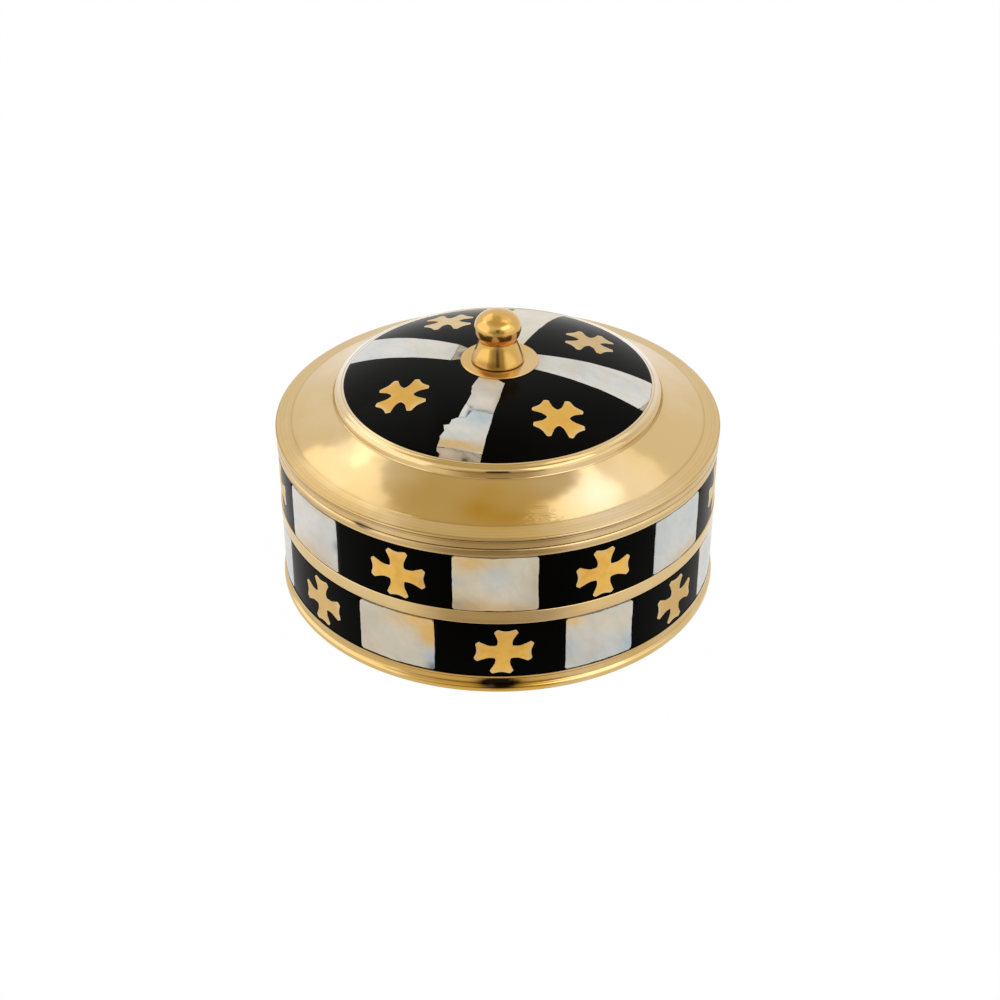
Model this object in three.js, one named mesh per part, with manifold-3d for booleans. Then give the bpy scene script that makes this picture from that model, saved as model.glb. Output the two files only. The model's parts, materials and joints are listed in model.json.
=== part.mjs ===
// A round brass incense box with a lift-off domed lid and a turned knob.
// The wall and the lid are inlaid with mother-of-pearl pieces and brass crosses, set in black resin.
// Units are millimetres and +Z is up. The origin is the centre of the foot's underside, and the front faces -Y.
// Angles are in degrees, from the front, and grow towards +X.
import * as THREE from "three";
import { mergeVertices } from "three/addons/utils/BufferGeometryUtils.js";
import Module from "manifold-3d";

const wasm = await Module();
wasm.setup();

// Facets of the turned pieces
const bodyFacets = 42;
const knobFacets = 24;
const domeSteps = 4;
const shoulderSteps = 3;
const knobSkirtSteps = 4;
const knobBallSteps = 7;

// Fits between the pieces
const cementGap = 0.25;
const solderGap = 0.1;
const lidClearance = 0.3;
const seamGap = 0.1;

// Wall and its rings
const inlaidRadius = 44.85;
const inlayThickness = 1.2;
const wallThickness = 1;
const ringProud = 0.1;
const footHeight = 4;
const lowerBandHeight = 12.3;
const middleRingHeight = 3.05;
const upperBandHeight = 12.55;
const topRingHeight = 1.75;
const ringEdgeRadius = 0.3;
const lipHeadroom = 0.15;
const lipChamfer = 0.3;

// Foot and floor
const footBeadProud = 0.4;
const footBeadHeight = 1.7;
const footBeadEdge = 0.45;
const footCoveDepth = 0.25;
const footFilletHeight = 0.5;
const flangeThickness = 0.9;
const flangeWidth = 2.9;
const floorThickness = 1;

// Inlay of the two bands
const repeats = 7;
const pearlTileWidth = 15.8;
const resinRail = 0.2;
const crossHeadRoom = 1.2;
const crossFootRoom = 0.5;
const crossWidening = 0.25;
// Hand-laid pieces stand a little off their even spacing, by these angles in turn.
const upperTileDrift = [-0.6, 0.3, 0.1, -0.3, -0.2, -0.6, -2.6];
const upperCrossDrift = [0.9, 0.2, 0, -0.2, -0.4, -1.4, 0.6];
const lowerTileDrift = [0.6, -1.9, -1.1, -0.5, -0.4, -1.9, -0.5];
const lowerCrossDrift = [1.5, 0.4, 0.6, 0.4, 0.3, 0.2, 0.4];
// Some tiles are cut narrower than the rest, by these widths in turn.
const upperTileTrim = [0, 1.4, 0.2, 0, 0.5, 0, 0];
const lowerTileTrim = [1.6, 0, 0, 0.6, 0, 0.3, 0];

// Shape of a cross: half widths of an arm, and the round lobes at its end
const crossWaist = 1.35;
const crossFlare = 2.25;
const crossLobe = 0.55;
const crossNotch = 0.45;

// Lid, from its rim to its crown
const skirtThickness = 1.2;
const skirtHeight = 1.85;
const rimProud = 0.15;
const rimHeight = 0.55;
const landWidth = 2.95;
const landRise = 0.65;
const shoulderWidth = 8.7;
const shoulderRise = 4.8;
const shoulderHollow = 0.25;
const beadGroove = 0.2;
const beadWidth = 1.85;
const beadHeight = 2;
const beadEdge = 0.5;
const lidWallThickness = 1.1;
const domeRise = 4.8;
const domeFullness = 2.8;
const domeSink = 0.1;
const bossRadius = 6.6;
const washerPadRise = 0.25;
const washerPadMargin = 1;

// Inlay of the lid
const stripInnerHalfWidth = 2.95;
const stripOuterHalfWidth = 5.4;
const lidCrossReach = 5.15;
const lidCrossInset = 8.8;

// Knob, collar, screw and washer
const collarCover = 0.95;
const collarThickness = 0.3;
const collarLooseness = 0.7;
const knobNeckRadius = 3.82;
const knobNeckHeight = 0.1;
const knobSkirtFlare = 1.48;
const knobSkirtBend = 1.25;
const knobSkirtHeight = 4.25;
const knobLipHeight = 0.35;
const knobBallSwell = 0.86;
const knobBallUnderHeight = 4.6;
const knobBallCrownHeight = 3.3;
const screwRadius = 1.5;
const screwClearance = 0.3;
const screwGrip = 4;
const screwHeadOverhang = 1.4;
const screwHeadHeight = 1.9;
const screwSlotWidth = 0.8;
const screwSlotDepth = 0.9;
const washerWidth = 1.9;
const washerThickness = 0.6;

// Radii of the wall, worked out from the outside inwards
const inlayBackRadius = inlaidRadius - inlayThickness;
const wallOuterRadius = inlayBackRadius - cementGap;
const wallInnerRadius = wallOuterRadius - wallThickness;
const ringRadius = inlaidRadius + ringProud;

// Heights of the wall, worked out from the table upwards
const lowerBandBottom = footHeight;
const lowerBandTop = lowerBandBottom + lowerBandHeight;
const upperBandBottom = lowerBandTop + middleRingHeight;
const upperBandTop = upperBandBottom + upperBandHeight;
const topRingTop = upperBandTop + topRingHeight;

// Radii and heights of the lid, worked out from its seat
const skirtInnerRadius = wallOuterRadius + lidClearance;
const skirtOuterRadius = skirtInnerRadius + skirtThickness;
const skirtBottom = topRingTop + seamGap;
const rimBottom = skirtBottom + skirtHeight;
const landBottom = rimBottom + rimHeight;
const lipTop = landBottom - lidWallThickness - lipHeadroom;
const shoulderOuterRadius = skirtOuterRadius - landWidth;
const shoulderBottom = landBottom + landRise;
const shoulderInnerRadius = shoulderOuterRadius - shoulderWidth;
const shoulderTop = shoulderBottom + shoulderRise;
const beadOuterRadius = shoulderInnerRadius - beadGroove * 2;
const recessRadius = beadOuterRadius - beadWidth;
const beadTop = shoulderTop + beadHeight + beadGroove;
const domeEdge = beadTop - domeSink;
const inlayRimRadius = recessRadius - cementGap;
const inlayHubRadius = bossRadius + cementGap;
const lidCrossRadius = inlayRimRadius - lidCrossInset;

// Height of the polished dome above a radius: flat at the crown, and steeper towards the bead.
const domeHeight = (radius) => domeEdge + domeRise * (1 - (radius / recessRadius) ** domeFullness);

// Radii and heights of the knob's pieces, worked out from the screw and the dome
const collarRadius = inlayHubRadius + collarCover;
const collarShift = collarLooseness / 2;
const knobBaseRadius = knobNeckRadius + knobSkirtFlare;
const knobBallRadius = knobNeckRadius + knobBallSwell;
const knobHoleRadius = screwRadius + screwClearance;
const screwHeadRadius = screwRadius + screwHeadOverhang;
const recessDepth = inlayThickness + cementGap;
const recessFloor = (radius) => domeHeight(radius) - recessDepth;
const lidUnderside = (radius) => recessFloor(radius) - lidWallThickness;
const collarBottom = domeHeight(inlayHubRadius) + solderGap;
const collarTop = collarBottom + collarThickness;
const bossTop = collarBottom - cementGap;
const knobBottom = collarTop + solderGap;
const knobLipTop = knobBottom + knobLipHeight;
const knobSkirtTop = knobLipTop + knobSkirtHeight;
const knobNeckTop = knobSkirtTop + knobNeckHeight;
const knobHoleTop = knobBottom + screwGrip + screwClearance;
const washerOuterRadius = knobHoleRadius + washerWidth;
const washerPadRadius = washerOuterRadius + washerPadMargin;
const washerPadBottom = lidUnderside(washerPadRadius) - washerPadRise;
const washerTop = washerPadBottom - solderGap;
const washerBottom = washerTop - washerThickness;
const screwHeadTop = washerBottom - solderGap;
const screwHeadBottom = screwHeadTop - screwHeadHeight;

// Finishes
const finish = (color, roughness, metalness) =>
  new THREE.MeshStandardMaterial({ color, roughness, metalness });
const brass = finish(0xb8914b, 0.22, 1);
const knobBrass = finish(0xb5812f, 0.18, 1);
const crossBrass = finish(0xd4a445, 0.4, 1);
const resin = finish(0x0a0909, 0.25, 0);
const pearl = finish(0xc9c8c0, 0.3, 0);
const greyPearl = finish(0x9b9388, 0.4, 0);

const incenseBox = new THREE.Group();

// Adds one named piece to the box.
function addPiece(name, geometry, material) {
  const piece = new THREE.Mesh(geometry, material);
  piece.name = name;
  incenseBox.add(piece);
}

// Turns a profile of [radius, height] points about the Z axis, starting at the front.
function turned(profile, facets) {
  const points = profile.map(([radius, height]) => new THREE.Vector2(radius, height));
  return new THREE.LatheGeometry(points, facets).rotateX(Math.PI / 2);
}

// A turned ring, whose profile is closed on itself.
const turnedRing = (profile, facets = bodyFacets) => turned([...profile, profile[0]], facets);

// Makes a closed geometry a solid that can be joined and cut.
function solidOf(geometry) {
  const bare = geometry.clone();
  bare.deleteAttribute("normal");
  bare.deleteAttribute("uv");
  const merged = mergeVertices(bare);
  const vertProperties = merged.attributes.position.array;
  const triVerts = new Uint32Array(merged.index.array);
  return new wasm.Manifold(new wasm.Mesh({ numProp: 3, vertProperties, triVerts }));
}

// Makes a solid a geometry again.
function geometryOf(solid) {
  const mesh = solid.getMesh();
  const geometry = new THREE.BufferGeometry();
  geometry.setAttribute("position", new THREE.BufferAttribute(mesh.vertProperties, 3));
  geometry.setIndex(new THREE.BufferAttribute(mesh.triVerts, 1));
  geometry.computeVertexNormals();
  return geometry;
}

// Moves every edge of an anticlockwise outline outwards by a distance, with mitred corners.
function grown(outline, distance) {
  return outline.map((corner, index) => {
    const before = outline.at(index - 1);
    const after = outline[(index + 1) % outline.length];
    const coming = corner.clone().sub(before).normalize();
    const going = after.clone().sub(corner).normalize();
    const mitre = new THREE.Vector2(coming.y + going.y, -coming.x - going.x);
    return corner.clone().addScaledVector(mitre, (2 * distance) / mitre.lengthSq());
  });
}

// Turns an outline about its origin.
const spun = (outline, degrees) =>
  outline.map((point) => point.clone().rotateAround(new THREE.Vector2(), THREE.MathUtils.degToRad(degrees)));

// Places a point from the lid's axis: along a ray at an angle from the front, and across it.
function onRay(degrees, along, across) {
  const angle = THREE.MathUtils.degToRad(degrees);
  const x = along * Math.sin(angle) + across * Math.cos(angle);
  const y = across * Math.sin(angle) - along * Math.cos(angle);
  return new THREE.Vector2(x, y);
}

// Outline of a cross: each arm flares from its waist to two round lobes with a notch between them.
function crossOutline(reachAcross, reachUp) {
  const lobeAngles = [75, -25];
  const outline = [];
  for (const [quarter, reach] of [reachAcross, reachUp, reachAcross, reachUp].entries()) {
    const lobeAlong = reach - crossLobe;
    const lobeAcross = crossFlare - crossLobe;
    const side = [
      new THREE.Vector2(crossWaist * 1.07, crossWaist * 1.07),
      new THREE.Vector2(reach * 0.5, crossWaist + crossNotch / 4),
    ];
    for (const degrees of lobeAngles) {
      const angle = THREE.MathUtils.degToRad(degrees);
      const along = lobeAlong + crossLobe * Math.cos(angle);
      side.push(new THREE.Vector2(along, lobeAcross + crossLobe * Math.sin(angle)));
    }
    const notch = new THREE.Vector2(reach - crossNotch, 0);
    const mirrored = side.slice(1).map((point) => new THREE.Vector2(point.x, -point.y));
    outline.push(...spun([...mirrored, notch, ...side.slice(1).reverse(), side[0]], 90 * quarter));
  }
  return outline;
}

// A slab with an upright outline, standing through the wall at an angle and a height.
function throughWall(outline, degrees, height) {
  const depth = 4 * inlayThickness;
  const slab = new THREE.ExtrudeGeometry(new THREE.Shape(outline), { depth, bevelEnabled: false });
  slab.rotateX(Math.PI / 2).translate(0, depth / 2 - inlaidRadius, height);
  return solidOf(slab.rotateZ(THREE.MathUtils.degToRad(degrees)));
}

// A slab with a level outline, standing through the dome of the lid.
function throughDome(outline) {
  const depth = domeRise + 4 * inlayThickness;
  const slab = new THREE.ExtrudeGeometry(new THREE.Shape(outline), { depth, bevelEnabled: false });
  return solidOf(slab.translate(0, 0, domeEdge - 2 * inlayThickness));
}

// Outline of a flat pearl tile.
function tileOutline(width, height) {
  const corners = [[-1, -1], [1, -1], [1, 1], [-1, 1]];
  return corners.map(([x, y]) => new THREE.Vector2((x * width) / 2, (y * height) / 2));
}

// The foot: a flange that carries the floor and the wall, a round bead at the table, and a cove above it.
function addFoot() {
  const beadRadius = inlaidRadius + footBeadProud;
  const coveRadius = inlaidRadius - footCoveDepth;
  const top = footHeight - solderGap;
  const flangeInnerRadius = wallInnerRadius - flangeWidth + wallThickness;
  const profile = [
    [flangeInnerRadius, 0],
    [beadRadius - 2 * footBeadEdge, 0],
    [beadRadius - footBeadEdge / 2, footBeadEdge / 3],
    [beadRadius, footBeadHeight / 2],
    [beadRadius - footBeadEdge / 2, footBeadHeight - footBeadEdge / 3],
    [coveRadius, footBeadHeight + footBeadEdge / 3],
    [coveRadius, top - footFilletHeight],
    [ringRadius, top - footFilletHeight / 2],
    [ringRadius, top],
    [inlayBackRadius, top],
    [inlayBackRadius, flangeThickness],
    [flangeInnerRadius, flangeThickness],
  ];
  addPiece("foot_ring", turnedRing(profile), brass);
}

// The floor lies on the flange, inside the wall.
function addFloor() {
  const radius = wallInnerRadius - cementGap;
  const bottom = flangeThickness + solderGap;
  const top = bottom + floorThickness;
  const profile = [
    [0, bottom],
    [radius, bottom],
    [radius, top],
    [0, top],
  ];
  addPiece("base_plate", turned(profile, bodyFacets), brass);
}

// The wall stands on the flange and ends in a lip that the lid drops over.
function addWall() {
  const bottom = flangeThickness + solderGap;
  const profile = [
    [wallInnerRadius, bottom],
    [wallOuterRadius, bottom],
    [wallOuterRadius, lipTop - lipChamfer],
    [wallOuterRadius - lipChamfer, lipTop],
    [wallInnerRadius, lipTop],
  ];
  addPiece("box_wall", turnedRing(profile), brass);
}

// A brass ring round the wall, with its two outer edges eased.
function addBrassRing(name, bottom, top) {
  const profile = [
    [inlayBackRadius, bottom],
    [ringRadius - ringEdgeRadius, bottom],
    [ringRadius, bottom + ringEdgeRadius],
    [ringRadius, top - ringEdgeRadius / 2],
    [ringRadius - ringEdgeRadius / 2, top],
    [inlayBackRadius, top],
  ];
  addPiece(name, turnedRing(profile), brass);
}

// One inlaid band: a ring of black resin, with windows that hold pearl tiles and brass crosses in turn.
function addBand({ name, bottom, top, tileTurn, tileDrift, tileTrim, crossTurn, crossDrift }) {
  const low = bottom + solderGap;
  const high = top - solderGap;
  const middle = (low + high) / 2;
  const stock = solidOf(turnedRing([
    [inlayBackRadius, low],
    [inlaidRadius, low],
    [inlaidRadius, high],
    [inlayBackRadius, high],
  ]));
  const reachUp = (top - bottom - crossHeadRoom - crossFootRoom) / 2;
  const crossHeight = bottom + crossFootRoom + reachUp;
  const cross = crossOutline(reachUp + crossWidening, reachUp);
  const tileHeight = high - low - 2 * (resinRail + cementGap);
  let ring = stock;
  for (let index = 0; index < repeats; index += 1) {
    const tileAngle = ((index + tileTurn) * 360) / repeats + tileDrift[index % tileDrift.length];
    const crossAngle = ((index + crossTurn) * 360) / repeats + crossDrift[index % crossDrift.length];
    const tile = tileOutline(pearlTileWidth - tileTrim[index % tileTrim.length], tileHeight);
    const tileSolid = stock.intersect(throughWall(tile, tileAngle, middle));
    const crossSolid = stock.intersect(throughWall(cross, crossAngle, crossHeight));
    addPiece(`${name}_pearl_tile_${index + 1}`, geometryOf(tileSolid), pearl);
    addPiece(`${name}_cross_${index + 1}`, geometryOf(crossSolid), crossBrass);
    ring = ring.subtract(throughWall(grown(tile, cementGap), tileAngle, middle));
    ring = ring.subtract(throughWall(grown(cross, cementGap), crossAngle, crossHeight));
  }
  addPiece(`${name}_resin_band`, geometryOf(ring), resin);
}

// The turned shell of the lid: skirt, rim, land, shoulder, bead, a sunk seat for the inlay, and a boss.
function addLidShell() {
  const steps = (count) => Array.from({ length: count + 1 }, (_, index) => index / count);
  const shoulder = steps(shoulderSteps).map((part) => {
    const hollow = shoulderHollow * Math.sin(Math.PI * part);
    return [shoulderOuterRadius - shoulderWidth * part, shoulderBottom + shoulderRise * part - hollow];
  });
  const drop = lidWallThickness * Math.hypot(1, shoulderRise / shoulderWidth);
  const innerShoulder = shoulder.map(([radius, height]) => [radius, height - drop]).reverse();
  const seat = domeRadii(recessRadius, bossRadius).map((radius) => [radius, recessFloor(radius)]);
  const ceiling = domeRadii(recessRadius, washerPadRadius).map((radius) => [radius, lidUnderside(radius)]);
  const profile = [
    [skirtInnerRadius, skirtBottom],
    [skirtOuterRadius, skirtBottom],
    [skirtOuterRadius, rimBottom - rimProud],
    [skirtOuterRadius - rimProud, rimBottom],
    [skirtOuterRadius + rimProud, rimBottom + rimProud],
    [skirtOuterRadius + rimProud, landBottom - rimProud],
    [skirtOuterRadius, landBottom],
    ...shoulder,
    [beadOuterRadius + beadGroove, shoulderTop - beadGroove],
    [beadOuterRadius, shoulderTop],
    [beadOuterRadius, beadTop - beadEdge],
    [beadOuterRadius - beadEdge, beadTop],
    [recessRadius + domeSink, beadTop],
    [recessRadius, beadTop - domeSink],
    ...seat,
    [bossRadius, bossTop],
    [knobHoleRadius, bossTop],
    [knobHoleRadius, washerPadBottom],
    [washerPadRadius, washerPadBottom],
    ...ceiling.reverse(),
    ...innerShoulder.slice(0, -1),
    [skirtInnerRadius, landBottom - lidWallThickness],
  ];
  addPiece("lid_shell", turnedRing(profile), brass);
}

// Radii at even steps across the dome, from one radius to another.
function domeRadii(from, to) {
  return Array.from({ length: domeSteps + 1 }, (_, index) => from + ((to - from) * index) / domeSteps);
}

// The stock that every inlay piece of the lid is cut from: a domed ring between the boss and the bead.
function lidInlayStock() {
  const radii = domeRadii(inlayRimRadius, inlayHubRadius);
  const face = radii.map((radius) => [radius, domeHeight(radius)]);
  const back = radii.map((radius) => [radius, domeHeight(radius) - inlayThickness]).reverse();
  return solidOf(turnedRing([...face, ...back]));
}

// Half width of a full pearl strip at a distance from the axis.
function stripHalfWidth(along) {
  const part = (along - inlayHubRadius) / (inlayRimRadius - inlayHubRadius);
  return stripInnerHalfWidth + (stripOuterHalfWidth - stripInnerHalfWidth) * part;
}

// The pearl strips run from the collar to the bead. Each piece has its outline as [along, across] points:
// along the strip from the axis, and across it. The front strip is pieced and has a broken edge.
function stripPieces() {
  const hub = inlayHubRadius - 1;
  const rim = inlayRimRadius + 1;
  const partWay = (part) => hub + (rim - hub) * part;
  const innerJoint = partWay(0.15);
  const crackLeft = partWay(0.4);
  const crack = partWay(0.425);
  const crackRight = partWay(0.455);
  const chipTip = partWay(0.515);
  const chipEnd = partWay(0.545);
  const step = partWay(0.65);
  const endJoint = inlayRimRadius - 2;
  const sliverJoint = inlayRimRadius - 1.4;
  const frontLeft = -stripInnerHalfWidth + 0.6;
  const frontRight = stripInnerHalfWidth + 0.3;
  const wide = stripHalfWidth(rim);
  const narrow = stripHalfWidth(hub);
  return [
    { angle: -14.4, name: "front_pearl_inner", tone: pearl,
      outline: [[hub, frontLeft], [crackLeft, frontLeft - 0.6], [crack, -1.4], [crackRight, frontRight + 0.6],
        [hub, frontRight]] },
    { angle: -14.4, name: "front_pearl_chip", tone: pearl,
      outline: [[crackLeft, frontLeft - 0.6], [chipEnd, frontLeft - 1.1], [chipTip, -0.3], [crack, -1.4]] },
    { angle: -14.4, name: "front_pearl_middle", tone: pearl,
      outline: [[chipEnd, frontLeft - 1.1], [step, frontLeft - 2.5], [endJoint, frontLeft - 2.5],
        [endJoint, frontRight + 1.2], [crackRight, frontRight + 0.6], [crack, -1.4], [chipTip, -0.3]] },
    { angle: -14.4, name: "front_pearl_end", tone: greyPearl,
      outline: [[endJoint, frontLeft - 2.5], [rim, frontLeft - 1.5], [rim, frontRight + 1.3],
        [endJoint, frontRight + 1.2]] },
    { angle: 77.6, name: "right_pearl_strip", tone: pearl,
      outline: [[hub, -narrow + 1.2], [sliverJoint, -wide], [rim, 4], [rim, wide], [hub, narrow + 1.2]] },
    { angle: 77.6, name: "right_pearl_sliver", tone: greyPearl,
      outline: [[sliverJoint, -wide], [rim, -wide], [rim, 4]] },
    { angle: 163, name: "back_pearl_strip", tone: pearl,
      outline: [[hub, -narrow], [rim, -wide], [rim, wide], [hub, narrow]] },
    { angle: 247.2, name: "left_pearl_strip", tone: pearl,
      outline: [[innerJoint, -narrow - 0.2], [rim, -wide], [rim, wide], [innerJoint - 1, narrow + 0.5]] },
    { angle: 247.2, name: "left_pearl_inner", tone: greyPearl,
      outline: [[hub, -narrow + 0.8], [innerJoint, -narrow - 0.2], [innerJoint - 1, narrow + 0.5],
        [hub, narrow - 0.6]] },
  ];
}

// The lid's inlay: pearl strips, and between them four quarters of black resin with a cross in each.
function addLidInlay() {
  const stock = lidInlayStock();
  const pieces = stripPieces();
  let left = stock;
  for (const { angle, name, tone, outline } of pieces) {
    const placed = outline.map(([along, across]) => onRay(angle, along, across));
    addPiece(name, geometryOf(stock.intersect(throughDome(grown(placed, -cementGap / 2)))), tone);
    left = left.subtract(throughDome(grown(placed, cementGap / 2)));
  }
  const cross = crossOutline(lidCrossReach, lidCrossReach);
  const quarters = [
    { name: "front_right", from: -14.4, to: 77.6, place: 31.4, outwards: 0.4, turn: 47.7 },
    { name: "back_right", from: 77.6, to: 163, place: 119.8, outwards: -0.3, turn: 40.9 },
    { name: "back_left", from: 163, to: 247.2, place: 207.3, outwards: 0.4, turn: 38.8 },
    { name: "front_left", from: 247.2, to: 345.6, place: 300.1, outwards: -0.4, turn: 37.7 },
  ];
  for (const { name, from, to, place, outwards, turn } of quarters) {
    const centre = onRay(place, lidCrossRadius + outwards, 0);
    const rays = [from, (from + to) / 2, to].map((degrees) => onRay(degrees, 3 * recessRadius, 0));
    const wedge = [new THREE.Vector2(), ...rays];
    const placed = spun(cross, turn).map((point) => point.add(centre));
    const quarter = left.intersect(throughDome(wedge)).subtract(throughDome(grown(placed, cementGap)));
    addPiece(`lid_resin_${name}`, geometryOf(quarter), resin);
    addPiece(`lid_cross_${name}`, geometryOf(stock.intersect(throughDome(placed))), crossBrass);
  }
}

// A thin collar lies on the boss and covers the inner edge of the inlay. Its hole is loose on the screw,
// so it is clamped a little off the middle.
function addCollar() {
  const holeRadius = screwRadius + collarLooseness;
  const profile = [
    [holeRadius, collarBottom],
    [collarRadius, collarBottom],
    [collarRadius, collarTop - collarThickness / 3],
    [collarRadius - collarThickness / 3, collarTop],
    [holeRadius, collarTop],
  ];
  addPiece("knob_collar", turnedRing(profile, knobFacets).translate(collarShift, 0, 0), knobBrass);
}

// The knob: a flared skirt and a flattened ball on it, with a blind hole for the screw.
function addKnob() {
  const skirt = Array.from({ length: knobSkirtSteps + 1 }, (_, index) => {
    const part = index / knobSkirtSteps;
    const radius = knobNeckRadius + knobSkirtFlare * (1 - part) ** knobSkirtBend;
    return [radius, knobLipTop + knobSkirtHeight * part];
  });
  const neckAngle = Math.acos(knobNeckRadius / knobBallRadius);
  const ballCentre = knobNeckTop + knobBallUnderHeight * Math.sin(neckAngle);
  const ball = Array.from({ length: knobBallSteps }, (_, index) => {
    const angle = -neckAngle + ((neckAngle + Math.PI / 2) * (index + 1)) / knobBallSteps;
    const halfHeight = angle < 0 ? knobBallUnderHeight : knobBallCrownHeight;
    return [knobBallRadius * Math.cos(angle), ballCentre + halfHeight * Math.sin(angle)];
  });
  ball[ball.length - 1][0] = 0;
  const profile = [
    [0, knobHoleTop],
    [knobHoleRadius, knobHoleTop],
    [knobHoleRadius, knobBottom],
    [knobBaseRadius, knobBottom],
    ...skirt,
    [knobNeckRadius, knobNeckTop],
    ...ball,
  ];
  addPiece("knob", turned(profile, knobFacets), knobBrass);
}

// The screw comes up from inside the lid, through the washer and the boss, into the knob.
function addScrew() {
  const profile = [
    [0, screwHeadBottom],
    [screwHeadRadius, screwHeadBottom],
    [screwHeadRadius, screwHeadTop],
    [screwRadius, screwHeadTop],
    [screwRadius, knobBottom + screwGrip],
    [0, knobBottom + screwGrip],
  ];
  const slot = new THREE.BoxGeometry(3 * screwHeadRadius, screwSlotWidth, 2 * screwSlotDepth);
  slot.translate(0, 0, screwHeadBottom);
  const screw = solidOf(turned(profile, knobFacets)).subtract(solidOf(slot));
  addPiece("knob_screw", geometryOf(screw), brass);
}

// The washer spreads the screw's pull under the lid.
function addWasher() {
  const profile = [
    [knobHoleRadius, washerBottom],
    [washerOuterRadius, washerBottom],
    [washerOuterRadius, washerTop],
    [knobHoleRadius, washerTop],
  ];
  addPiece("screw_washer", turnedRing(profile, knobFacets), brass);
}

addFoot();
addFloor();
addWall();
addBrassRing("middle_ring", lowerBandTop, upperBandBottom);
addBrassRing("top_ring", upperBandTop, topRingTop);
addBand({
  name: "upper",
  bottom: upperBandBottom,
  top: upperBandTop,
  tileTurn: 0,
  tileDrift: upperTileDrift,
  tileTrim: upperTileTrim,
  crossTurn: 0.5,
  crossDrift: upperCrossDrift,
});
addBand({
  name: "lower",
  bottom: lowerBandBottom,
  top: lowerBandTop,
  tileTurn: 0.5,
  tileDrift: lowerTileDrift,
  tileTrim: lowerTileTrim,
  crossTurn: 0,
  crossDrift: lowerCrossDrift,
});
addLidShell();
addLidInlay();
addCollar();
addKnob();
addScrew();
addWasher();

export default incenseBox;
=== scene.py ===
# %% [markdown]
# # An inlaid brass incense box
# This is a round box of turned brass with a lid that lifts off. Its wall and its lid are inlaid with
# pieces of mother-of-pearl and with small brass crosses, set in black resin and rubbed down flush. The
# box's plain solids come first, as a fixed frame. Every piece made here follows one of them, so the
# lesson is about finer shapes and true finishes, and never about size.

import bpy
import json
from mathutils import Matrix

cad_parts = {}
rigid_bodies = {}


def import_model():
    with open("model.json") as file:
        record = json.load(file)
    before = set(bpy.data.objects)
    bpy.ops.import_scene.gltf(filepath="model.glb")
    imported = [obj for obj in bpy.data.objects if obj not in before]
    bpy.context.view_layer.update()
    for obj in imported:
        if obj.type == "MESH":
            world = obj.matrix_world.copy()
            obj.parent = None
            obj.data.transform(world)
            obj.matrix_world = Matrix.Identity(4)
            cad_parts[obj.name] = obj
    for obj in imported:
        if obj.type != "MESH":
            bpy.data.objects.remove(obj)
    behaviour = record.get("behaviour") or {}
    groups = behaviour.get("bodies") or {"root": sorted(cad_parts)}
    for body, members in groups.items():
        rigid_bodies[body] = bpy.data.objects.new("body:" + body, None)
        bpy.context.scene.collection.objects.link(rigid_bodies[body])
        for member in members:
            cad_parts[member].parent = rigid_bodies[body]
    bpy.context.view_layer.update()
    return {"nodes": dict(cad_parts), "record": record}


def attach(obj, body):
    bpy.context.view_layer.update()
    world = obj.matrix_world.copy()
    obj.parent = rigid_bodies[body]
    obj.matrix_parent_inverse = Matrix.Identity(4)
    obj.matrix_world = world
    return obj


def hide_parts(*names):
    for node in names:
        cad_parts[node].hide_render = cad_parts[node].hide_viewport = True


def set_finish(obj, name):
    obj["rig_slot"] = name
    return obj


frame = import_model()

import json
import math

import bpy
import numpy as np
from mathutils import Vector

# %% [markdown]
# ## Measuring the solids
# A turned piece is known by its radius and its heights, and a piece in the wall by its angle round the
# axis. They could be typed in again, but reading them from the solids keeps both models alike. All
# lengths in this lesson are in millimetres until a mesh is written, which is in metres.

# %% Measure a solid
MM = 0.001


def points_of(mesh):
    """Every point of a mesh, in millimetres, one row each."""
    flat = np.zeros(3 * len(mesh.vertices), np.float32)
    mesh.vertices.foreach_get("co", flat)
    return flat.reshape(-1, 3) / MM


def corners_of(node):
    """Every corner of a solid, in millimetres, one row each."""
    return points_of(frame["nodes"][node].data)


def radii_of(node):
    """Smallest and largest distance of a solid's corners from the axis."""
    radii = np.hypot(*corners_of(node).T[:2])
    return float(radii.min()), float(radii.max())


def heights_of(node):
    """Lowest and highest point of a solid."""
    heights = corners_of(node)[:, 2]
    return float(heights.min()), float(heights.max())


def short_turn(angle):
    """The same angle, brought to within half a turn of zero."""
    return (angle + math.pi) % (2 * math.pi) - math.pi


def seat_of(node):
    """Where a piece sits in the wall: the angle of its middle, from the front towards +X, its half width
    along the wall's curve, its middle height and its half height."""
    x, y, z = corners_of(node).T
    middle = math.atan2(x.mean(), -y.mean())
    side = short_turn(np.arctan2(x, -y) - middle)
    angle = middle + (side.max() + side.min()) / 2
    half_width = (side.max() - side.min()) / 2 * band_radius
    return angle, half_width, (z.max() + z.min()) / 2, (z.max() - z.min()) / 2


band_radius = radii_of("upper_resin_band")[1]
lower_band = heights_of("lower_resin_band")
upper_band = heights_of("upper_resin_band")
foot_top = heights_of("foot_ring")[1]
middle_ring = heights_of("middle_ring")
top_ring = heights_of("top_ring")
skirt_bottom = heights_of("lid_shell")[0]
collar_low, collar_high = heights_of("knob_collar")
knob_low, knob_high = heights_of("knob")
print(f"inlaid radius {band_radius:.2f} mm, knob {knob_low:.2f} to {knob_high:.2f} mm high")
print("bands", np.round(lower_band, 2).tolist(), "and", np.round(upper_band, 2).tolist())

# %% [markdown]
# ## From a grid of points to a closed mesh
# Every piece of this box is a surface of two parameters: a profile carried round an axis, or rings that
# grow from the middle of an inlay to its outline. Modifiers could thicken a sheet, but a grid that
# already runs over the face, down the edge and back underneath is closed from the start and keeps an even
# thickness.

# %% Build shells and pieces
SHARP_EDGE = 35
body_of = {node: body for body, nodes in frame["record"]["behaviour"]["bodies"].items() for node in nodes}


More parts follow.
